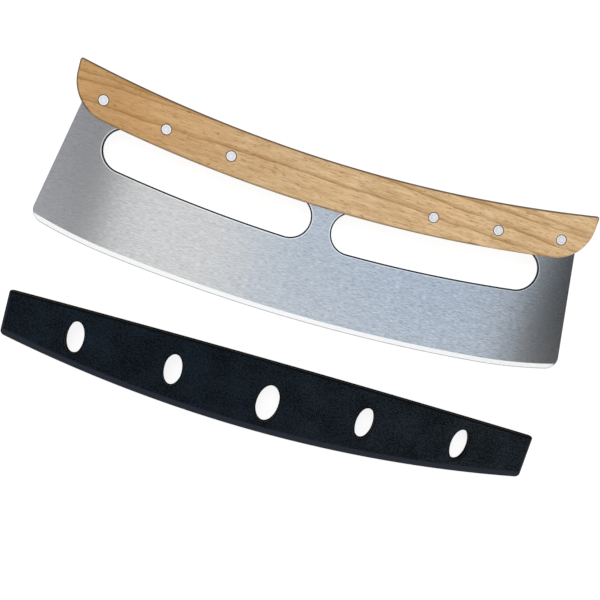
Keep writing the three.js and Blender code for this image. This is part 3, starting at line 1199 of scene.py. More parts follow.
@dataclass
class Scales:
    """The two wooden halves of the handle.

    Attributes:
        handle: The band that they share.
        head_radius: Radius of the seat for a rivet's head.
        head_depth: Depth of the seat.
        shank_radius: Radius of the hole for the shank.
        lip: Chamfer round the seat.
        crease: Degrees from which an edge stays sharp.
        lower_shade: Strength of the painted shade along the lower edge.
        lower_right_shade: Its strength towards the right end.
        right_start: Where along X that part starts.
        deep_shade: Share of the painted shade that is left below the rounded edge.
        onset: Where below the face the painted shade starts, and over what depth it grows, in edge radii.
    """

    handle: Handle
    head_radius: float = 3.3 * MM
    head_depth: float = 1.2 * MM
    shank_radius: float = 2.5 * MM
    lip: float = 0.3 * MM
    crease: float = 40
    lower_shade: float = 0.45
    lower_right_shade: float = 0.1
    right_start: float = 100 * MM
    deep_shade: float = 0.1
    onset: tuple = (0.01, 0.05)

    def build(self, facing: Facing, tree: NodeTree, finish: Material) -> Object:
        """Makes one scale as a swept board.

        Args:
            facing: The side of the handle.
            tree: The swept board tree.
            finish: The wood.

        Returns:
            The scale.
        """
        name = f"{facing.name.lower()}_scale_wood"
        holes = [(x, y, 0) for x, y in self.handle.rivets()]
        mesh = grown(
            closed_curve(f"{name}_outline", self.handle.outline()),
            tree,
            {
                "Thickness": self.handle.scale_thickness,
                "Edge Radius": self.handle.scale_edge,
                "Hole Centres": plain_object(f"{name}_holes", holes, []),
                "Head Radius": self.head_radius,
                "Head Depth": self.head_depth,
                "Shank Radius": self.shank_radius,
                "Hole Lip": self.lip,
                "Finish": finish,
            },
        )
        self.place(mesh, facing)
        self.tone(mesh, facing)
        return finished(name, mesh, [finish], self.crease)

    def place(self, mesh: Mesh, facing: Facing) -> None:
        """Puts the board on its side of the blade, its rounded face outwards.

        Args:
            mesh: The board.
            facing: The side of the handle.
        """
        height = self.handle.scale_thickness
        if facing is Facing.FRONT:
            mesh.transform(Matrix.Translation((0, 0, height + self.handle.blade_thickness)))
            return
        mesh.transform(Matrix.Diagonal((1, 1, -1, 1)))
        mesh.transform(Matrix.Translation((0, 0, height)))
        mesh.flip_normals()

    def tone(self, mesh: Mesh, facing: Facing) -> None:
        """Paints shade on the rim and in the rivet seats, darker than the faces.

        Args:
            mesh: The board in its place.
            facing: The side of the handle.
        """
        face = self.handle.thickness if facing is Facing.FRONT else 0.0
        radius = self.handle.scale_edge
        centre = Vector(self.handle.centre)
        holes = [Vector(place) for place in self.handle.rivets()]
        start, growth = self.onset
        tones = []
        for vertex in mesh.vertices:
            below = abs(vertex.co.z - face)
            flat = vertex.co.to_2d()
            off_line = (centre - flat).length - self.handle.bend
            # Painted shade: full in the rivet seats, along the top edge and at the left end, weaker along
            # the lower edge, faint on its right part, none at the right end.
            if any((flat - hole).length < 2 * self.head_radius for hole in holes):
                strength = 1.0
            elif abs(flat.x) > self.handle.length / 2 - self.handle.corner / 2:
                on_top = abs(off_line + self.handle.height / 2) < 1.3 * radius
                strength = 1.0 if flat.x < 0 or on_top else 0.0
            elif off_line < 0:
                strength = 1.0
            else:
                strength = self.lower_right_shade if flat.x > self.right_start else self.lower_shade
            rise = min(1.0, max(0.0, (below / radius - start) / growth))
            tones.append(strength * rise * (1.0 if below < 1.01 * radius else self.deep_shade))
        mark_tones(mesh, tones)


# The rivets


@dataclass
class Rivets:
    """Two-piece cutlery rivets, in a row along the bend of the handle.

    Attributes:
        handle: The band that they hold together.
        head: Radius of a head.
        head_thickness: Its thickness.
        edge: Radius along its edge.
        dish: Radius and depth of the dish in its face.
        land: Where the ring of painted shade round the dish ends, and where the bright ring starts.
        pin: Radius of the front half's pin.
        tube: Outer radius of the rear half's tube.
        clearance: Room round the pin and beyond its end.
        shortfall: From the tube's end to the pin's head.
        grip: Depth to which the pin goes into the tube.
        chamfer: At the pin's end.
        sides: Sides of all circles.
        steps: Points along the dish and along the edge.
        crease: Degrees from which an edge stays sharp.
    """

    handle: Handle
    head: float = 3.0 * MM
    head_thickness: float = 1.2 * MM
    edge: float = 0.28 * MM
    dish: tuple = (1.5 * MM, 0.10 * MM)
    land: tuple = (1.9 * MM, 2.3 * MM)
    pin: float = 1.3 * MM
    tube: float = 2.2 * MM
    clearance: float = 0.3 * MM
    shortfall: float = 1.6 * MM
    grip: float = 9 * MM
    chamfer: float = 0.25 * MM
    sides: int = 48
    steps: int = 8
    crease: float = 40

    def face_profile(self) -> list[tuple]:
        """The head's face from its middle outwards, as radius, height and tone, the tone being painted
        shade.

        Returns:
            The points of a shallow dish, a land and a rounded edge.
        """
        width, depth = self.dish
        shares = np.linspace(0, 1, self.steps + 1)
        # The tone paints shade that deepens towards the dish's rim and stays over the inner land.
        points = [(share * width, depth * (share**2 - 1), 0.1 + 0.9 * share**3) for share in shares]
        points += [(self.land[0], 0.0, 1.0), (self.land[1], 0.0, 0.0)]
        for angle in np.linspace(0, math.pi / 2, self.steps + 1):
            out = self.head - self.edge + self.edge * math.sin(angle)
            points.append((out, self.edge * (math.cos(angle) - 1), 0.0))
        return points

    def half(self, name: str, shank: list[tuple]) -> Object:
        """Turns one half of a rivet, its face at height 0.

        Args:
            name: The name of the object.
            shank: Radius and height of the points below the head, from the top down.

        Returns:
            The half.
        """
        under = [(self.head, -self.head_thickness), *shank]
        profile = self.face_profile() + [(radius, z, 0.0) for radius, z in under]
        least = MERGE / 10
        skin = Skin()
        rings = []
        for radius, z, tone in profile:
            rings.append(skin.ring(circle(0, 0, max(radius, least), self.sides), z, tone))
        skin.walls(rings[::-1])
        return skin.object(name, [], self.crease)

    def pin_half(self) -> Object:
        """The front half: a head with a pin.

        Returns:
            The half.
        """
        end = -self.head_thickness - self.shortfall - self.grip
        narrow = self.pin - self.chamfer
        start = (self.pin, -self.head_thickness)
        return self.half("pin_half", [start, (self.pin, end + self.chamfer), (narrow, end), (0.0, end)])

    def tube_half(self) -> Object:
        """The rear half: a head with a tube.

        Returns:
            The half.
        """
        end = self.head_thickness + self.shortfall - self.handle.thickness
        bore = self.pin + self.clearance
        floor = end + self.grip + self.clearance
        start = (self.tube, -self.head_thickness)
        return self.half("tube_half", [start, (self.tube, end), (bore, end), (bore, floor), (0.0, floor)])

    def row_group(self) -> NodeTree:
        """A geometry tree that sets one rivet at each of six places along the bend.

        Returns:
            The group's tree.
        """
        sheet, into = group_with(
            "Geometry",
            "Rivet row",
            {
                "Geometry": SHAPE,
                "Rivet": THING,
                "Handle Length": NUMBER,
                "Bend Radius": NUMBER,
                "Inner Inset": NUMBER,
                "Middle Inset": NUMBER,
                "Outer Inset": NUMBER,
                "Height": NUMBER,
                "Turn Over": NUMBER,
                "Finish": FINISH,
            },
            {"Row": SHAPE},
        )
        number = sheet.form("InputIndex")
        choice = sheet.put("GeometryNodeIndexSwitch", data_type="FLOAT")
        choice.index_switch_items.new()
        insets = [into["Inner Inset"], into["Middle Inset"], into["Outer Inset"]]
        for socket, value in zip(choice.inputs, [sheet.sum("MODULO", number, 3.0), *insets]):
            sheet.give(socket, value)
        reach = sheet.minus(sheet.times(into["Handle Length"], 0.5), choice.outputs[0])
        side = sheet.minus(sheet.times(sheet.sum("GREATER_THAN", number, 2.5), 2.0), 1.0)
        x = sheet.times(reach, side)
        place = sheet.xyz(x, sheet.fall(into["Bend Radius"], x), into["Height"])
        spots = sheet.form("Points", {"Count": 6, "Position": place})
        turn = sheet.xyz(into["Turn Over"])
        row = sheet.set_out(spots, sheet.shape_of(into["Rivet"]), Rotation=turn)
        return sheet.dressed("Row", row, into["Finish"])

    def build(self, facing: Facing, tree: NodeTree, finish: Material) -> Object:
        """Makes the six halves that show on one side.

        Args:
            facing: The side of the handle.
            tree: The rivet row tree.
            finish: The metal.

        Returns:
            One piece with the six halves.
        """
        front = facing is Facing.FRONT
        name = f"{facing.name.lower()}_rivets"
        inner, middle, outer = self.handle.rivet_insets
        mesh = grown(
            plain_object(f"{name}_carrier", [(0, 0, 0)], []),
            tree,
            {
                "Rivet": self.pin_half() if front else self.tube_half(),
                "Handle Length": self.handle.length,
                "Bend Radius": self.handle.bend + self.handle.rivet_drop,
                "Inner Inset": inner,
                "Middle Inset": middle,
                "Outer Inset": outer,
                "Height": self.handle.thickness if front else 0.0,
                "Turn Over": 0.0 if front else math.pi,
                "Finish": finish,
            },
        )
        mesh.transform(Matrix.Translation((0, -self.handle.rivet_drop, 0)))
        return finished(name, mesh, [finish], self.crease)


# The blade


class Surface(IntEnum):
    """The parts of the blade's surface, in the order of its finishes."""

    FACE = 0
    GROUND_BEVEL = 1
    FINAL_BEVEL = 2
    CUT_EDGE = 3


@dataclass
class Blade:
    """One steel plate: tang, two finger slots, and an edge ground from both faces.

    Attributes:
        handle: The band that the tang fills.
        depth: From the handle's mid-line to the lowest point of the edge.
        shoulder: How much shorter than the handle the plate is at each end.
        flare: Angle of the sides against Y.
        corner: Radius of the corners.
        tang_inset: How far the tang stays inside the scales' outline.
        edge_radius: Radius of the long arc of the edge.
        end_radius: Radius of the arcs at its ends.
        end_stretch: Length of these arcs along X, measured from the plate's side.
        bevel: Width of the ground bevel.
        bevel_depth: How much steel it takes away at the final bevel.
        final_bevel: Width of the final bevel.
        final_depth: How much steel is gone from a face at the edge itself.
        chamfer: Chamfer along the sides.
        slot_drop: From the handle's mid-line to the slots'.
        slot_height: Height of a slot.
        bridge: Steel between the slots.
        slot_margin: Steel between a slot and the plate's side.
        slot_chamfer: Width and depth of a slot's chamfer.
        slot_land: Width of the land round the chamfer, near white with a painted highlight.
        bore_radius: Radius of the holes for the rivets.
        crease: Degrees from which an edge stays sharp.
    """

    handle: Handle
    depth: float = 89.4 * MM
    shoulder: float = 3.6 * MM
    flare: float = math.radians(11)
    corner: float = 8.5 * MM
    tang_inset: float = 0.3 * MM
    edge_radius: float = 1190 * MM
    end_radius: float = 320 * MM
    end_stretch: float = 40 * MM
    bevel: float = 3.5 * MM
    bevel_depth: float = 0.42 * MM
    final_bevel: float = 0.55 * MM
    final_depth: float = 0.6 * MM
    chamfer: float = 0.2 * MM
    slot_drop: float = 25.8 * MM
    slot_height: float = 26.6 * MM
    bridge: float = 14.7 * MM
    slot_margin: float = 20.3 * MM
    slot_chamfer: tuple = (0.95 * MM, 0.4 * MM)
    slot_land: float = 0.6 * MM
    bore_radius: float = 2.5 * MM
    crease: float = 4

    @property
    def side(self) -> float:
        """The blade's side at the handle's mid-line."""
        return self.handle.length / 2 - self.shoulder

    @property
    def edge_centre(self) -> tuple:
        """The middle of the long arc of the edge."""
        return (0.0, self.edge_radius - self.depth)

    @property
    def join(self) -> np.ndarray:
        """Where the long arc meets the end arc."""
        return low_point(self.edge_centre, self.edge_radius, self.side - self.end_stretch)

    @property
    def end_centre(self) -> np.ndarray:
        """The middle of the end arc."""
        return on_circle(self.join, -self.end_radius, angle_of(self.edge_centre, self.join))

    @property
    def corner_centre(self) -> np.ndarray:
        """The middle of the circle that touches both the blade's side and the end arc.

        Returns:
            Its place.
        """
        outward = np.array([math.cos(self.flare), math.sin(self.flare)])
        along = np.array([math.sin(self.flare), -math.cos(self.flare)])
        across = self.side * math.cos(self.flare) - self.corner - self.end_centre @ outward
        reach = math.sqrt((self.end_radius - self.corner) ** 2 - across**2)
        return self.end_centre + outward * across + along * reach

    def shoulder_angle(self) -> float:
        """Where the blade's side leaves the lower corner of the tang.

        Returns:
            The angle of the point where the side's line meets the corner's circle, from its centre.
        """
        centre = self.handle.corner_centre
        radius = self.handle.corner - self.tang_inset
        slope = math.tan(self.flare)
        reach = self.side - centre[0]
        a = 1 + slope * slope
        b = slope * reach + centre[1]
        c = reach**2 + centre[1] ** 2 - radius**2
        y = (b - math.sqrt(b * b - a * c)) / a
        return angle_of(centre, np.array([self.side - y * slope, y]))

    def half(self) -> tuple[Loop, np.ndarray]:
        """The right half of the outline, clockwise.

        Returns:
            Its points, and the width of the bevel at each.
        """
        handle = self.handle
        end_angle = angle_of(self.end_centre, self.corner_centre)
        join_angle = angle_of(self.edge_centre, self.join)
        tang = [
            handle.top(self.tang_inset),
            arc(handle.corner_centre, handle.corner - self.tang_inset, 0, self.shoulder_angle(), steps=16),
        ]
        corner = arc(self.corner_centre, self.corner, self.flare, end_angle, steps=20)
        ground = [
            arc(self.end_centre, self.end_radius, end_angle, join_angle, steps=24)[1:],
            arc(self.edge_centre, self.edge_radius, join_angle, DOWN, steps=90)[1:],
        ]
        reach = np.linalg.norm(corner - self.end_centre, axis=1) - (self.end_radius - self.bevel)
        widths = [
            np.zeros(sum(len(part) for part in tang)),
            np.maximum(0, reach),
            np.full(sum(len(part) for part in ground), self.bevel),
        ]
        return np.vstack([*tang, corner, *ground]), np.concatenate(widths)

    def drawn_up(self, points: Loop, distance: np.ndarray) -> Loop:
        """Points of the edge moved towards the middle of their arc.

        Args:
            points: The points.
            distance: A distance for each.

        Returns:
            The moved points.
        """
        centres = np.where(points[:, :1] > self.join[0], self.end_centre, self.edge_centre)
        away = centres - points
        return points + away * (distance / np.linalg.norm(away, axis=1))[:, None]

    def rings(self, skin: Skin, middle: float, sign: int) -> list[list[int]]:
        """The rings of one face, from the flat face out to the edge.

        Args:
            skin: Where the points go.
            middle: Height of the plate's mid-plane.
            sign: 1 for the upper face, -1 for the lower.

        Returns:
            The rings: face, end of the chamfer, final bevel, edge.
        """
        half, widths = self.half()
        share = widths / self.bevel
        plain = self.chamfer * (1 - share)
        none = 0 * share
        flat = self.handle.blade_thickness / 2
        inner = self.drawn_up(half, widths)
        outer = self.drawn_up(half, self.final_bevel * share)
        levels = [
            (inner, plain, none),
            (inner, none, plain),
            (outer, none, np.maximum(plain, self.bevel_depth * share)),
            (half, none, np.maximum(plain, self.final_depth * share)),
        ]
        return [
            skin.ring(inward(closed(points), around(inset)), middle + sign * (flat - around(depth)))
            for points, inset, depth in levels
        ]

    def slot(self, side: int, grown_by: float) -> Loop:
        """The outline of one finger slot.

        Args:
            side: 1 for the right slot, -1 for the left.
            grown_by: The distance by which it is made larger.

        Returns:
            The outline, counterclockwise.
        """
        centre = self.handle.centre
        radius = self.handle.bend + self.slot_drop
        end = self.slot_height / 2
        inner = low_point(centre, radius, self.bridge / 2 + end)
        outer = low_point(centre, radius, self.side - self.slot_margin - end)
        first = angle_of(centre, inner)
        last = angle_of(centre, outer)
        wide = end + grown_by
        parts = [
            arc(centre, radius + wide, first, last, steps=60),
            arc(outer, wide, last, last + math.pi, steps=28)[1:],
            arc(centre, radius - wide, last, first, steps=60)[1:],
            arc(inner, wide, first + math.pi, first + math.tau, steps=28)[1:-1],
        ]
        loop = np.vstack(parts)
        return loop if side > 0 else (loop * MIRROR_X)[::-1]

    def side_wall(self, skin: Skin, lower: list[int], upper: list[int]) -> None:
        """Joins two rings round the plate: the brushed face's steel where the scales hold it, elsewhere
        the final bevel's steel, darker as painted shade.

        Args:
            skin: Where the faces go.
            lower: The lower ring.
            upper: The upper ring.
        """
        skin.walls([lower, upper], Surface.FINAL_BEVEL)
        centre = Vector(self.handle.centre)
        reach = self.handle.bend + self.handle.height / 2
        for i, number in enumerate(lower):
            if (Vector(skin.points[number]).to_2d() - centre).length < reach:
                skin.marks[i - len(lower)] = Surface.FACE

    def slot_wall(self, skin: Skin, middle: float, side: int) -> list[list[int]]:
        """Cuts one finger slot, with its chamfers, near black as painted shade, and the lands round them,
        near white as a painted highlight.

        Args:
            skin: Where the points and faces go.
            middle: Height of the plate's mid-plane.
            side: 1 for the right slot, -1 for the left.

        Returns:
            The slot's rings, lowest first.
        """
        flat = self.handle.blade_thickness / 2
        wide, deep = self.slot_chamfer
        land = wide + self.slot_land
        rise = [(land, flat), (wide, flat), (0.0, flat - deep)]
        levels = [(out, -z) for out, z in rise] + rise[::-1]
        rings = [skin.ring(self.slot(side, out), middle + z) for out, z in levels]
        skin.walls(rings[1::-1], Surface.GROUND_BEVEL)
        skin.walls(rings[4:0:-1], Surface.CUT_EDGE)
        skin.walls(rings[5:3:-1], Surface.GROUND_BEVEL)
        return rings

    def bore_wall(self, skin: Skin, middle: float, place: np.ndarray) -> list[list[int]]:
        """Drills one hole for a rivet.

        Args:
            skin: Where the points and faces go.
            middle: Height of the plate's mid-plane.
            place: The hole's centre.

        Returns:
            The hole's rings, lowest first.
        """
        flat = self.handle.blade_thickness / 2
        loop = circle(place[0], place[1], self.bore_radius, steps=40)
        rings = [skin.ring(loop, middle + z) for z in (-flat, flat)]
        skin.walls(rings[::-1], Surface.CUT_EDGE)
        return rings

    def build(self, finishes: list[Material]) -> Object:
        """Makes the blade.

        Args:
            finishes: Brushed face, ground bevel with a painted highlight, final bevel and cut edge with
                painted shade.

        Returns:
            The blade.
        """
        skin = Skin()
        middle = self.handle.scale_thickness + self.handle.blade_thickness / 2
        upper = self.rings(skin, middle, 1)
        lower = self.rings(skin, middle, -1)
        self.side_wall(skin, upper[1], upper[0])
        self.side_wall(skin, lower[0], lower[1])
        for i, surface in ((1, Surface.GROUND_BEVEL), (2, Surface.FINAL_BEVEL)):
            skin.walls([upper[i + 1], upper[i]], surface)
            skin.walls([lower[i], lower[i + 1]], surface)
        self.side_wall(skin, lower[3], upper[3])
        holes = [self.slot_wall(skin, middle, side) for side in (-1, 1)]
        holes += [self.bore_wall(skin, middle, place) for place in self.handle.rivets()]
        skin.cap(upper[0], [rings[-1] for rings in holes], True, Surface.FACE)
        skin.cap(lower[0], [rings[0] for rings in holes], False, Surface.FACE)
        return skin.object("blade_plate", finishes, self.crease)


# The guard


@dataclass
class Guard:
    """A moulded pocket for the edge, open along its mouth and pierced by oval windows.

    Attributes:
        blade: The blade that it covers.
        mouth_height: Height of the mouth's middle along Y, while the guard lies pulled off.
        middle: Height of its mid-plane along Z.
        face_wall: Thickness of the front and the rear wall.
        face_clearance: Room on each face of the blade.
        end_wall: Thickness of the ends.
        end_clearance: Room at each end of the blade.
        floor: Thickness of the floor.
        height: From the mouth to the bottom, in the middle.
        mouth_radius: Radius of the mouth's line.
        bottom_radius: Radius of the bottom's line.
        corner: Radius of the lower corners.
        tip: Radius of the upper corners.
        rim: Width of the sloped rim below and at the ends, and its depth.
        mouth_edge: Width of the edge at the mouth.
        mouth_line: Distance between the two lines that hold the face flat inside the rim.
        lead: Chamfer on the inside of the mouth.
        over: How far the cutters for the inside reach past the mouth.
        window: Width and height of a window.
        middle_window: Width and height of the window in the middle.
        middle_drop: How much lower that window sits.
        window_margin: From the guard's end to the middle of its last window.
        lip: Width and depth of the step round each window.
        bottom_highlight: From the bottom, where the painted highlight starts and where it is full.
        end_highlight: The same from the ends.
        end_highlight_tone: Strength of the painted highlight at the ends.
        shade_line: Width of the line of painted shade along the bottom.
        end_edge: How much wider that line is at the ends.
        ebb: Share of the rim below and at the ends where the painted highlight starts to fade.
        corner_loss: Share of the rim's width by which it narrows the lower corners.
        rim_steps: Points across the rim.
        crease: Degrees from which an edge stays sharp.
    """

    blade: Blade
    mouth_height: float = -120.18 * MM
    middle: float = 9.25 * MM
    face_wall: float = 1.8 * MM
    face_clearance: float = 0.35 * MM
    end_wall: float = 1.5 * MM
    end_clearance: float = 0.4 * MM
    floor: float = 3 * MM
    height: float = 49.4 * MM
    mouth_radius: float = 10700 * MM
    bottom_radius: float = 895 * MM
    corner: float = 3.5 * MM
    tip: float = 1.2 * MM
    rim: tuple = (5.2 * MM, 2.4 * MM, 2.6 * MM)
    mouth_edge: float = 0.25 * MM
    mouth_line: float = 0.7 * MM
    lead: float = 0.5 * MM
    over: float = 2 * MM
    window: tuple = (12 * MM, 22 * MM)
    middle_window: tuple = (15 * MM, 26 * MM)
    middle_drop: float = 3.6 * MM
    window_margin: float = 47.2 * MM
    lip: tuple = (0.6 * MM, 0.25 * MM)
    bottom_highlight: tuple = (0.15 * MM, 0.6 * MM)
    end_highlight: tuple = (0.65 * MM, 0.95 * MM)
    end_highlight_tone: float = 0.4
    shade_line: float = 0.15 * MM
    end_edge: float = 0.5 * MM
    ebb: tuple = (0.8, 0.6)
    corner_loss: float = 0.75
    rim_steps: int = 8
    crease: float = 28

    @property
    def pocket_half(self) -> float:
        """Half the pocket's length."""
        return self.blade.corner_centre[0] + self.blade.corner + self.end_clearance

    @property
    def half_length(self) -> float:
        """Half the guard's length."""
        return self.pocket_half + self.end_wall

    @property
    def pocket_gap(self) -> float:
        """The pocket's inside width."""
        return self.blade.handle.blade_thickness + 2 * self.face_clearance

    @property
    def thickness(self) -> float:
        """The guard's thickness."""
        return self.pocket_gap + 2 * self.face_wall

    @property
    def bottom_centre(self) -> tuple:
        """The middle of the arc along the bottom."""
        return (0.0, self.bottom_radius - self.height)

    @property
    def pitch(self) -> float:
        """The distance from one window's middle to the next."""
        return (self.half_length - self.window_margin) / 2

    def mouth(self, x: float) -> float:
        """The height of the mouth."""
        return math.sqrt(self.mouth_radius**2 - x * x) - self.mouth_radius

    def outline(self, half: float, bottom: float, corner: float, lift: float) -> Loop:
        """The outline of the guard or of its pocket.

        Args:
            half: Half its length.
            bottom: Radius of its bottom.
            corner: Radius of its lower corners.
            lift: How far its mouth lies above the guard's.

        Returns:
            The outline, counterclockwise.
        """
        low = low_point(self.bottom_centre, bottom - corner, half - corner)
        angle = angle_of(self.bottom_centre, low)
        tip_x = half - self.tip
        parts = [
            [(x, self.mouth(x) + lift) for x in np.linspace(0, tip_x, num=40)[:-1]],
            arc((tip_x, self.mouth(tip_x) + lift - self.tip), self.tip, -DOWN, 0, steps=8),
            arc(low, corner, 0, angle, steps=10),
            arc(self.bottom_centre, bottom, angle, DOWN, steps=90)[1:],
        ]
        return closed(np.vstack(parts))

    def drawn(self, below: float, beside: float, above: float) -> Loop:
        """The guard's outline drawn in.

        Args:
            below: By how much along its bottom.
            beside: By how much at its ends.
            above: By how much along its mouth.

        Returns:
            The outline, counterclockwise.
        """
        corner = max(self.corner - self.corner_loss * below, self.mouth_edge)
        return self.outline(self.half_length - beside, self.bottom_radius - below, corner, -above)

    def shell(self) -> Object:
        """The outside, rounded over along the bottom and the ends.

        Returns:
            The solid.
        """
        below, beside, depth = self.rim
        top = self.thickness / 2
        levels = []
        for angle in np.linspace(0, math.pi / 2, self.rim_steps + 1):
            share = 1 - math.cos(angle)
            loop = self.drawn(share * below, share * beside, share * self.mouth_edge)
            levels.append((loop, top - depth * (1 - math.sin(angle))))
        for inner in (self.mouth_line, 2 * self.mouth_line):
            levels.append((self.drawn(below + inner, beside + inner, self.mouth_edge + inner), top))
        skin = Skin()
        rings = [skin.ring(loop, -z) for loop, z in levels[::-1]]
        rings += [skin.ring(loop, z) for loop, z in levels]
        skin.walls(rings)
        skin.cap(rings[-1], [], True)
        skin.cap(rings[0], [], False)
        return skin.object("guard_shell", [], self.crease)

    def pocket(self) -> Object:
        """The room for the edge, run out past the mouth.

        Returns:
            The solid.
        """
        bottom = self.bottom_radius - self.floor
        loop = self.outline(self.pocket_half, bottom, self.corner - self.end_wall, self.over)
        skin = Skin()
        rings = [skin.ring(loop, z) for z in (-self.pocket_gap / 2, self.pocket_gap / 2)]
        skin.walls(rings)
        skin.cap(rings[0], [], False)
        skin.cap(rings[1], [], True)
        return skin.object("guard_pocket", [], self.crease)

    def lead_in(self) -> Object:
        """The wedge that opens the mouth.

        Returns:
            The solid.
        """
        spans = 80
        narrow = self.pocket_gap / 2 - self.lead
        wide = self.pocket_gap / 2 + self.lead + self.over
        reach = self.pocket_half - self.end_clearance
        inside = -2 * self.lead
        section = [(self.over, wide), (inside, narrow), (inside, -narrow), (self.over, -wide)]
        points = []
        for x in np.linspace(-reach, reach, spans + 1):
            points += [(x, self.mouth(x) + rise, z) for rise, z in section]
        faces = []
        for first in range(0, 4 * spans, 4):
            for i in range(4):
                a = first + i
                b = first + (i + 1) % 4
                faces.append((a, b, b + 4, a + 4))
        faces.append((3, 2, 1, 0))
        faces.append(tuple(range(4 * spans, 4 * spans + 4)))
        return plain_object("guard_lead", points, faces)

    def tone(self, mesh: Mesh) -> None:
        """Paints a highlight along the bottom and the ends, and shade on the edges of the mouth, the
        windows and the rim.

        Args:
            mesh: The guard, with its mouth at the origin.
        """
        half = self.half_length
        pitch = self.pitch
        mark_tones(mesh, [self.tone_at(vertex.co, half, pitch) for vertex in mesh.vertices])

    def tone_at(self, point: Vector, half: float, pitch: float) -> float:
        """How much painted highlight or painted shade the guard carries at a point.

        Args:
            point: The point, with the guard's mouth at the origin.
            half: Half the guard's length.
            pitch: The distance between the windows.

        Returns:
            The tone: 1 for the painted highlight, -1 for the painted shade.
        """
        x, y, z = point
        below, beside, _ = self.rim
        from_bottom = self.bottom_radius - (point.to_2d() - Vector(self.bottom_centre)).length
        from_end = half - abs(x)
        from_mouth = self.mouth(x) - y
        place = max(-2, min(2, round(x / pitch)))
        wide, high = self.middle_window if place == 0 else self.window
        level = self.window_height(place * pitch)
        off = math.hypot((x - place * pitch) / wide, (y - level) / high)
        # Painted shade on each window's walls and on the step round it.
        if off < 0.5 + self.lip[0] / wide + 0.01:
            return -1.0 if abs(z) < self.thickness / 2 - self.lip[1] / 2 else 0.0
        # Painted highlight along the rounded bottom and the ends.
        low = band(from_bottom, *self.bottom_highlight, self.ebb[0] * below, below)
        side = self.end_highlight_tone * band(from_end, *self.end_highlight, self.ebb[1] * beside, beside)
        # Painted shade along the rim's outer edge and along the mouth.
        at_rim = min(from_bottom, from_end - self.end_edge) < self.shade_line
        tone = -1.0 if at_rim or from_mouth < self.mouth_edge + 1.1 * self.mouth_line else max(low, side)
        # Inside the pocket the painted highlight is left out.
        return min(tone, 0.0) if abs(z) < self.pocket_gap / 2 + self.lead else tone

    def window_height(self, x: float) -> float:
        """The height of a window's middle.

        Args:
            x: Where along the guard the window is.

        Returns:
            The height along Y.
        """
        bottom = low_point(self.bottom_centre, self.bottom_radius, x)[1]
        drop = self.middle_drop if x == 0 else 0.0
        return (self.mouth(x) + bottom) / 2 - drop

    def window_group(self) -> NodeTree:
        """A geometry tree that hollows the shell and pierces it with a row of oval windows.

        Returns:
            The group's tree.
        """
        sheet, into = group_with(
            "Geometry",
            "Pierced guard",
            {
                "Shell": SHAPE,
                "Pocket": THING,
                "Lead In": THING,
                "Pitch": NUMBER,
                "Mouth Radius": NUMBER,
                "Bottom Radius": NUMBER,
                "Guard Height": NUMBER,
                "Window Width": NUMBER,
                "Window Height": NUMBER,
                "Middle Width": NUMBER,
                "Middle Height": NUMBER,
                "Middle Drop": NUMBER,
                "Thickness": NUMBER,
                "Lip Width": NUMBER,
                "Lip Depth": NUMBER,
                "Window Sides": 64,
                "Finish": FINISH,
            },
            {"Guard": SHAPE},
        )
        place = sheet.minus(sheet.form("InputIndex"), 2.0)
        is_middle = sheet.sum("COMPARE", place, 0.0, 0.1)
        x = sheet.times(place, into["Pitch"])
        bottom = sheet.minus(sheet.fall(into["Bottom Radius"], x), into["Guard Height"])
        top = sheet.times(sheet.fall(into["Mouth Radius"], x), -1.0)
        level = sheet.times(sheet.plus(top, bottom), 0.5)
        y = sheet.minus(level, sheet.times(is_middle, into["Middle Drop"]))
        column = sheet.form(
            "MeshCylinder",
            {"Vertices": into["Window Sides"], "Radius": 1.0, "Depth": 1.0},
            fill_type="NGON",
        )
        column = sheet.form("Transform", {"Geometry": column, "Translation": (0, 0, 0.5)})

        def half_of(name: str) -> NodeSocket:
            """Half a window's size: one for the middle window and one for the others."""
            sizes = {0: is_middle, 1: into[f"Window {name}"], 2: into[f"Middle {name}"]}
            return sheet.times(sheet.form("Switch", sizes, input_type="FLOAT"), 0.5)

        def cutters(out: object, low: NodeSocket, high: NodeSocket) -> NodeSocket:
            """An oval column at each place, larger than the window by a distance.

            Args:
                out: The distance.
                low: Height of the columns' lower ends.
                high: Height of their upper ends.

            Returns:
                The columns.
            """
            spots = sheet.form("Points", {"Count": 5, "Position": sheet.xyz(x, y, low)})
            width = sheet.plus(half_of("Width"), out)
            height = sheet.plus(half_of("Height"), out)
            return sheet.set_out(spots, column, Scale=sheet.xyz(width, height, sheet.minus(high, low)))

        over = into["Thickness"]
        under = sheet.times(over, -1.0)
        sunk = sheet.minus(sheet.times(over, 0.5), into["Lip Depth"])
        tools = [
            sheet.shape_of(into["Pocket"]),
            sheet.shape_of(into["Lead In"]),
            cutters(0.0, under, over),
            cutters(into["Lip Width"], sunk, over),
            cutters(into["Lip Width"], under, sheet.times(sunk, -1.0)),
        ]
        solid = into["Shell"]
        for tool in tools:
            meshes = {"Mesh 1": solid, "Mesh 2": tool}
            solid = sheet.form("MeshBoolean", meshes, operation="DIFFERENCE", solver="EXACT")
        return sheet.dressed("Guard", solid, into["Finish"])

    def build(self, finish: Material) -> Object:
        """Makes the guard and dresses it in its plastic.

        Args:
            finish: The plastic.

        Returns:
            The guard.
        """
        mesh = grown(
            self.shell(),
            self.window_group(),
            {
                "Pocket": self.pocket(),
                "Lead In": self.lead_in(),
                "Pitch": self.pitch,
                "Mouth Radius": self.mouth_radius,
                "Bottom Radius": self.bottom_radius,
                "Guard Height": self.height,
                "Window Width": self.window[0],
                "Window Height": self.window[1],
                "Middle Width": self.middle_window[0],
                "Middle Height": self.middle_window[1],
                "Middle Drop": self.middle_drop,
                "Thickness": self.thickness,
                "Lip Width": self.lip[0],
                "Lip Depth": self.lip[1],
                "Finish": finish,
            },
        )
        self.tone(mesh)
        mesh.transform(Matrix.Translation((0, self.mouth_height, self.middle)))
        return finished("guard_shell", mesh, [finish], self.crease)


# The studio


WHITE = (1.0, 1.0, 1.0)
BLACK = (0.0, 0.0, 0.0)


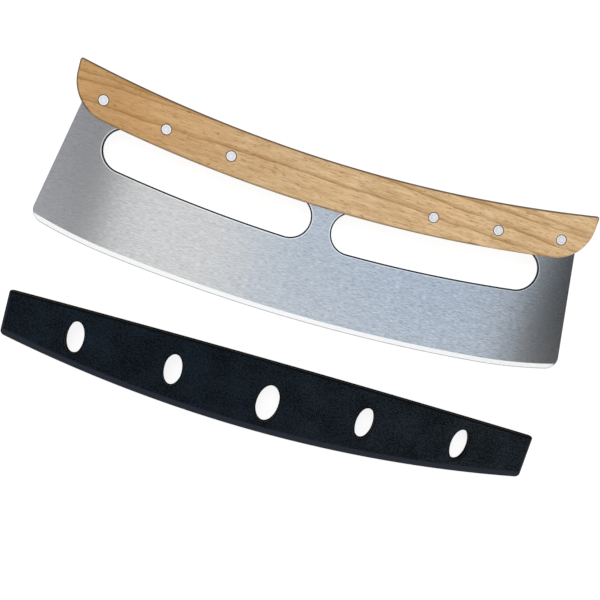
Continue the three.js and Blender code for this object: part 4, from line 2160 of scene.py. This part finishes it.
@dataclass
class Studio:
    """A white floor, a soft lamp and the photograph's viewpoint.

    Attributes:
        frame_pixels: Width of the picture.
        focal_pixels: Focal length in pixels.
        sensor: Width of the sensor in millimetres.
        yaw: Turn of the camera about Y.
        pitch: Its turn about X.
        roll: Its turn about Z.
        offset: From the camera to that point, in the camera's axes, in millimetres.
        pivot: The point that it turns about, with its signs reversed, in millimetres.
        floor_reach: From the middle of the floor to its sides.
        floor_drop: How far the floor lies below the object.
        paper: Brightness of the floor under the lamps.
        glow: Light that it gives off where it is seen.
        fill: Strength of the light from all sides.
        wall_span: Directions along X between which the walls show in a reflection.
        walls: Places between them, and the wall's colour at each.
        ahead: Directions along Y between which the walls take over from white.
        key_place: Place of the lamp.
        key_size: Its width.
        key_watts: Its power.
        target: The point that it shines at.
    """

    frame_pixels: float = 600
    focal_pixels: float = 717.3
    sensor: float = 36
    yaw: float = math.radians(4.38)
    pitch: float = math.radians(8.339)
    roll: float = math.radians(-16.802)
    offset: tuple = (19.8, 68.895, -456.887)
    pivot: tuple = (0, 3.5, -9.25)
    floor_reach: float = 6.0
    floor_drop: float = 0.5 * MM
    paper: float = 0.32
    glow: float = 0.82
    fill: float = 0.75
    wall_span: tuple = (-0.6, 0.6)
    walls: tuple = (
        (0.0, (0.9, 0.9, 0.9)),
        (0.218, (0.56, 0.57, 0.60)),
        (0.264, (0.44, 0.45, 0.49)),
        (0.316, (0.24, 0.24, 0.24)),
        (0.338, WHITE),
        (0.45, WHITE),
        (0.528, (0.72, 0.82, 0.94)),
        (0.703, (0.62, 0.74, 0.90)),
        (0.786, (0.62, 0.72, 0.86)),
        (0.806, (0.20, 0.20, 0.19)),
        (0.825, BLACK),
        (0.95, BLACK),
        (1.0, (0.9, 0.9, 0.9)),
    )
    ahead: tuple = (-0.27, -0.18)
    key_place: tuple = (-0.5, 0.9, 1.6)
    key_size: float = 1.0
    key_watts: float = 11.0
    target: tuple = (0, -0.06, 0)

    def camera(self) -> None:
        """Sets up the camera at the photograph's viewing angle."""
        turn = (
            Matrix.Rotation(self.roll, 3, "Z")
            @ Matrix.Rotation(self.pitch, 3, "X")
            @ Matrix.Rotation(self.yaw, 3, "Y")
        )
        place = -(turn.transposed() @ Vector(self.offset)) - Vector(self.pivot)
        data = bpy.data.cameras.new("camera")
        data.sensor_width = self.sensor
        data.lens = self.focal_pixels / self.frame_pixels * self.sensor
        data.clip_start = 0.01
        data.clip_end = 20
        obj = linked("camera", data)
        obj.matrix_world = Matrix.Translation(place * MM) @ turn.transposed().to_4x4()
        bpy.context.scene.camera = obj

    def floor(self) -> None:
        """Adds the floor, pale where the camera sees it, with the object's shadow."""
        reach = self.floor_reach
        corners = [(-reach, -reach), (reach, -reach), (reach, reach), (-reach, reach)]
        floor = plain_object("floor", [(x, y, -self.floor_drop) for x, y in corners], [(0, 1, 2, 3)])
        material = bpy.data.materials.new("floor_paper")
        material.use_nodes = True
        sheet = Sheet(material.node_tree)
        nodes = sheet.tree.nodes
        paper = nodes["Principled BSDF"]
        sheet.give(paper.inputs["Base Color"], (self.paper, self.paper, self.paper))
        sheet.give(paper.inputs["Roughness"], 1.0)
        sheet.give(paper.inputs["Specular IOR Level"], 0.0)
        path = sheet.put("ShaderNodeLightPath").outputs
        seen = sheet.sum("MAXIMUM", path["Is Camera Ray"], path["Is Glossy Ray"])
        glow = sheet.shade("Emission", {"Color": WHITE, "Strength": sheet.times(seen, self.glow)})
        both = sheet.shade("AddShader", {0: paper.outputs[0], 1: glow})
        sheet.give(nodes["Material Output"].inputs["Surface"], both)
        floor.data.materials.append(material)

    def world(self) -> None:
        """White for the camera; a soft studio with a darker side for reflections."""
        world = bpy.data.worlds.new("studio")
        bpy.context.scene.world = world
        world.use_nodes = True
        sheet = Sheet(world.node_tree)
        path = sheet.put("ShaderNodeLightPath").outputs
        right, up, _ = sheet.split(sheet.put("ShaderNodeTexCoord").outputs["Generated"])
        walls = sheet.ramp(sheet.remap(right, *self.wall_span), list(self.walls))
        panel = sheet.mix(sheet.remap(up, *self.ahead), WHITE, walls)
        plain = sheet.shade("Background", {"Color": WHITE, "Strength": self.fill})
        seen = sheet.shade("Background", {"Color": WHITE, "Strength": 1.0})
        mirrored = sheet.shade("Background", {"Color": panel, "Strength": 1.0})
        first = sheet.shade("MixShader", {0: path["Is Glossy Ray"], 1: plain, 2: mirrored})
        last = sheet.shade("MixShader", {0: path["Is Camera Ray"], 1: first, 2: seen})
        sheet.give(sheet.tree.nodes["World Output"].inputs["Surface"], last)

    def lamp(self) -> None:
        """Adds a soft lamp that shines at the middle of the object."""
        data = bpy.data.lights.new("key", "AREA")
        data.shape = "DISK"
        data.size = self.key_size
        data.energy = self.key_watts
        obj = linked("key", data)
        obj.location = self.key_place
        way = Vector(self.target) - Vector(self.key_place)
        obj.rotation_euler = way.to_track_quat("-Z", "Y").to_euler()
        obj.visible_glossy = False

    def build(self) -> None:
        """Sets up everything that isn't the object."""
        self.camera()
        self.floor()
        self.world()
        self.lamp()
        bpy.context.scene.view_settings.view_transform = "Standard"


# The whole cutter


# One steel in four colours: the brushed face; the ground bevel and the slot lands, near white, partly a
# finer ground finish and partly a painted highlight; the final bevel and the blade's sides, darker grey as
# painted shade; the cut edges of slots and bores, near black as painted shade.
STEEL = (
    Steel("brushed_steel", (0.43, 0.435, 0.44), (0.81, 0.815, 0.82)),
    Steel(
        "ground_bevel",
        dark=(0.92, 0.925, 0.93),
        light=(0.99, 0.99, 0.99),
        roughness=(0.2, 0.3),
        lines=2400,
        stretch=6,
        brushed=0.3,
    ),
    Steel(
        "final_bevel",
        dark=(0.36, 0.36, 0.37),
        light=(0.52, 0.52, 0.52),
        roughness=(0.2, 0.3),
        lines=2400,
        stretch=6,
        brushed=0.2,
    ),
    Steel(
        "cut_edge",
        dark=(0.02, 0.02, 0.022),
        light=(0.05, 0.05, 0.055),
        roughness=(0.35, 0.5),
        lines=1800,
        stretch=5,
        brushed=0.2,
    ),
)


def woods(handle: Handle) -> dict[Facing, OiledWood]:
    """The woods of the two scales.

    Args:
        handle: The handle that they belong to.

    Returns:
        A wood for each side.
    """
    front = OiledWood(
        "front_wood",
        turn=1.5,
        shift=(0.0, 0.0, 0.0),
        face=handle.thickness,
        streaks=(
            (-0.0075, 0.004, 0.5, 0.004),
            (0.0017, 0.0, 0.95, 0.004),
            (0.0140, -0.028, 0.95, 0.004),
            (0.0171, 0.02, 0.9, 0.004),
            (0.0250, -0.01, 0.65, 0.004),
        ),
    )
    rear = OiledWood(
        "rear_wood",
        turn=-0.9,
        shift=(0.31, 0.07, 0.2),
        face=0.0,
        streaks=(
            (0.062, 0.01, 0.6, 0.003),
            (0.075, 0.0, 0.8, 0.004),
            (0.083, -0.01, 0.7, 0.003),
            (0.096, 0.0, 0.5, 0.003),
        ),
    )
    return {Facing.FRONT: front, Facing.REAR: rear}


def main() -> None:
    """Builds the studio, the pieces and their finishes, and reports each piece."""
    logging.basicConfig(level=logging.INFO, format="%(name)s: %(message)s")
    Studio().build()
    effects = Effects()
    handle = Handle()
    blade = Blade(handle)
    steel = [finish.material(effects) for finish in STEEL]
    placed(blade.build(steel), Body.CUTTER, ["blade"])
    board = swept_board_group()
    scales = Scales(handle)
    rivets = Rivets(handle)
    row = rivets.row_group()
    metal = TurnedMetal("rivet_metal").material(effects)
    for facing, wood in woods(handle).items():
        scale = scales.build(facing, board, wood.material(effects))
        placed(scale, Body.CUTTER, [f"{facing.name.lower()}_scale"])
        half = "pin" if facing is Facing.FRONT else "tube"
        heads = rivets.build(facing, row, metal)
        placed(heads, Body.CUTTER, [f"rivet_{half}_{i}" for i in range(1, 7)])
    plastic = MouldedPlastic("black_plastic").material(effects)
    placed(Guard(blade).build(plastic), Body.GUARD, ["blade_guard"])


if __name__ == "__main__":
    main()
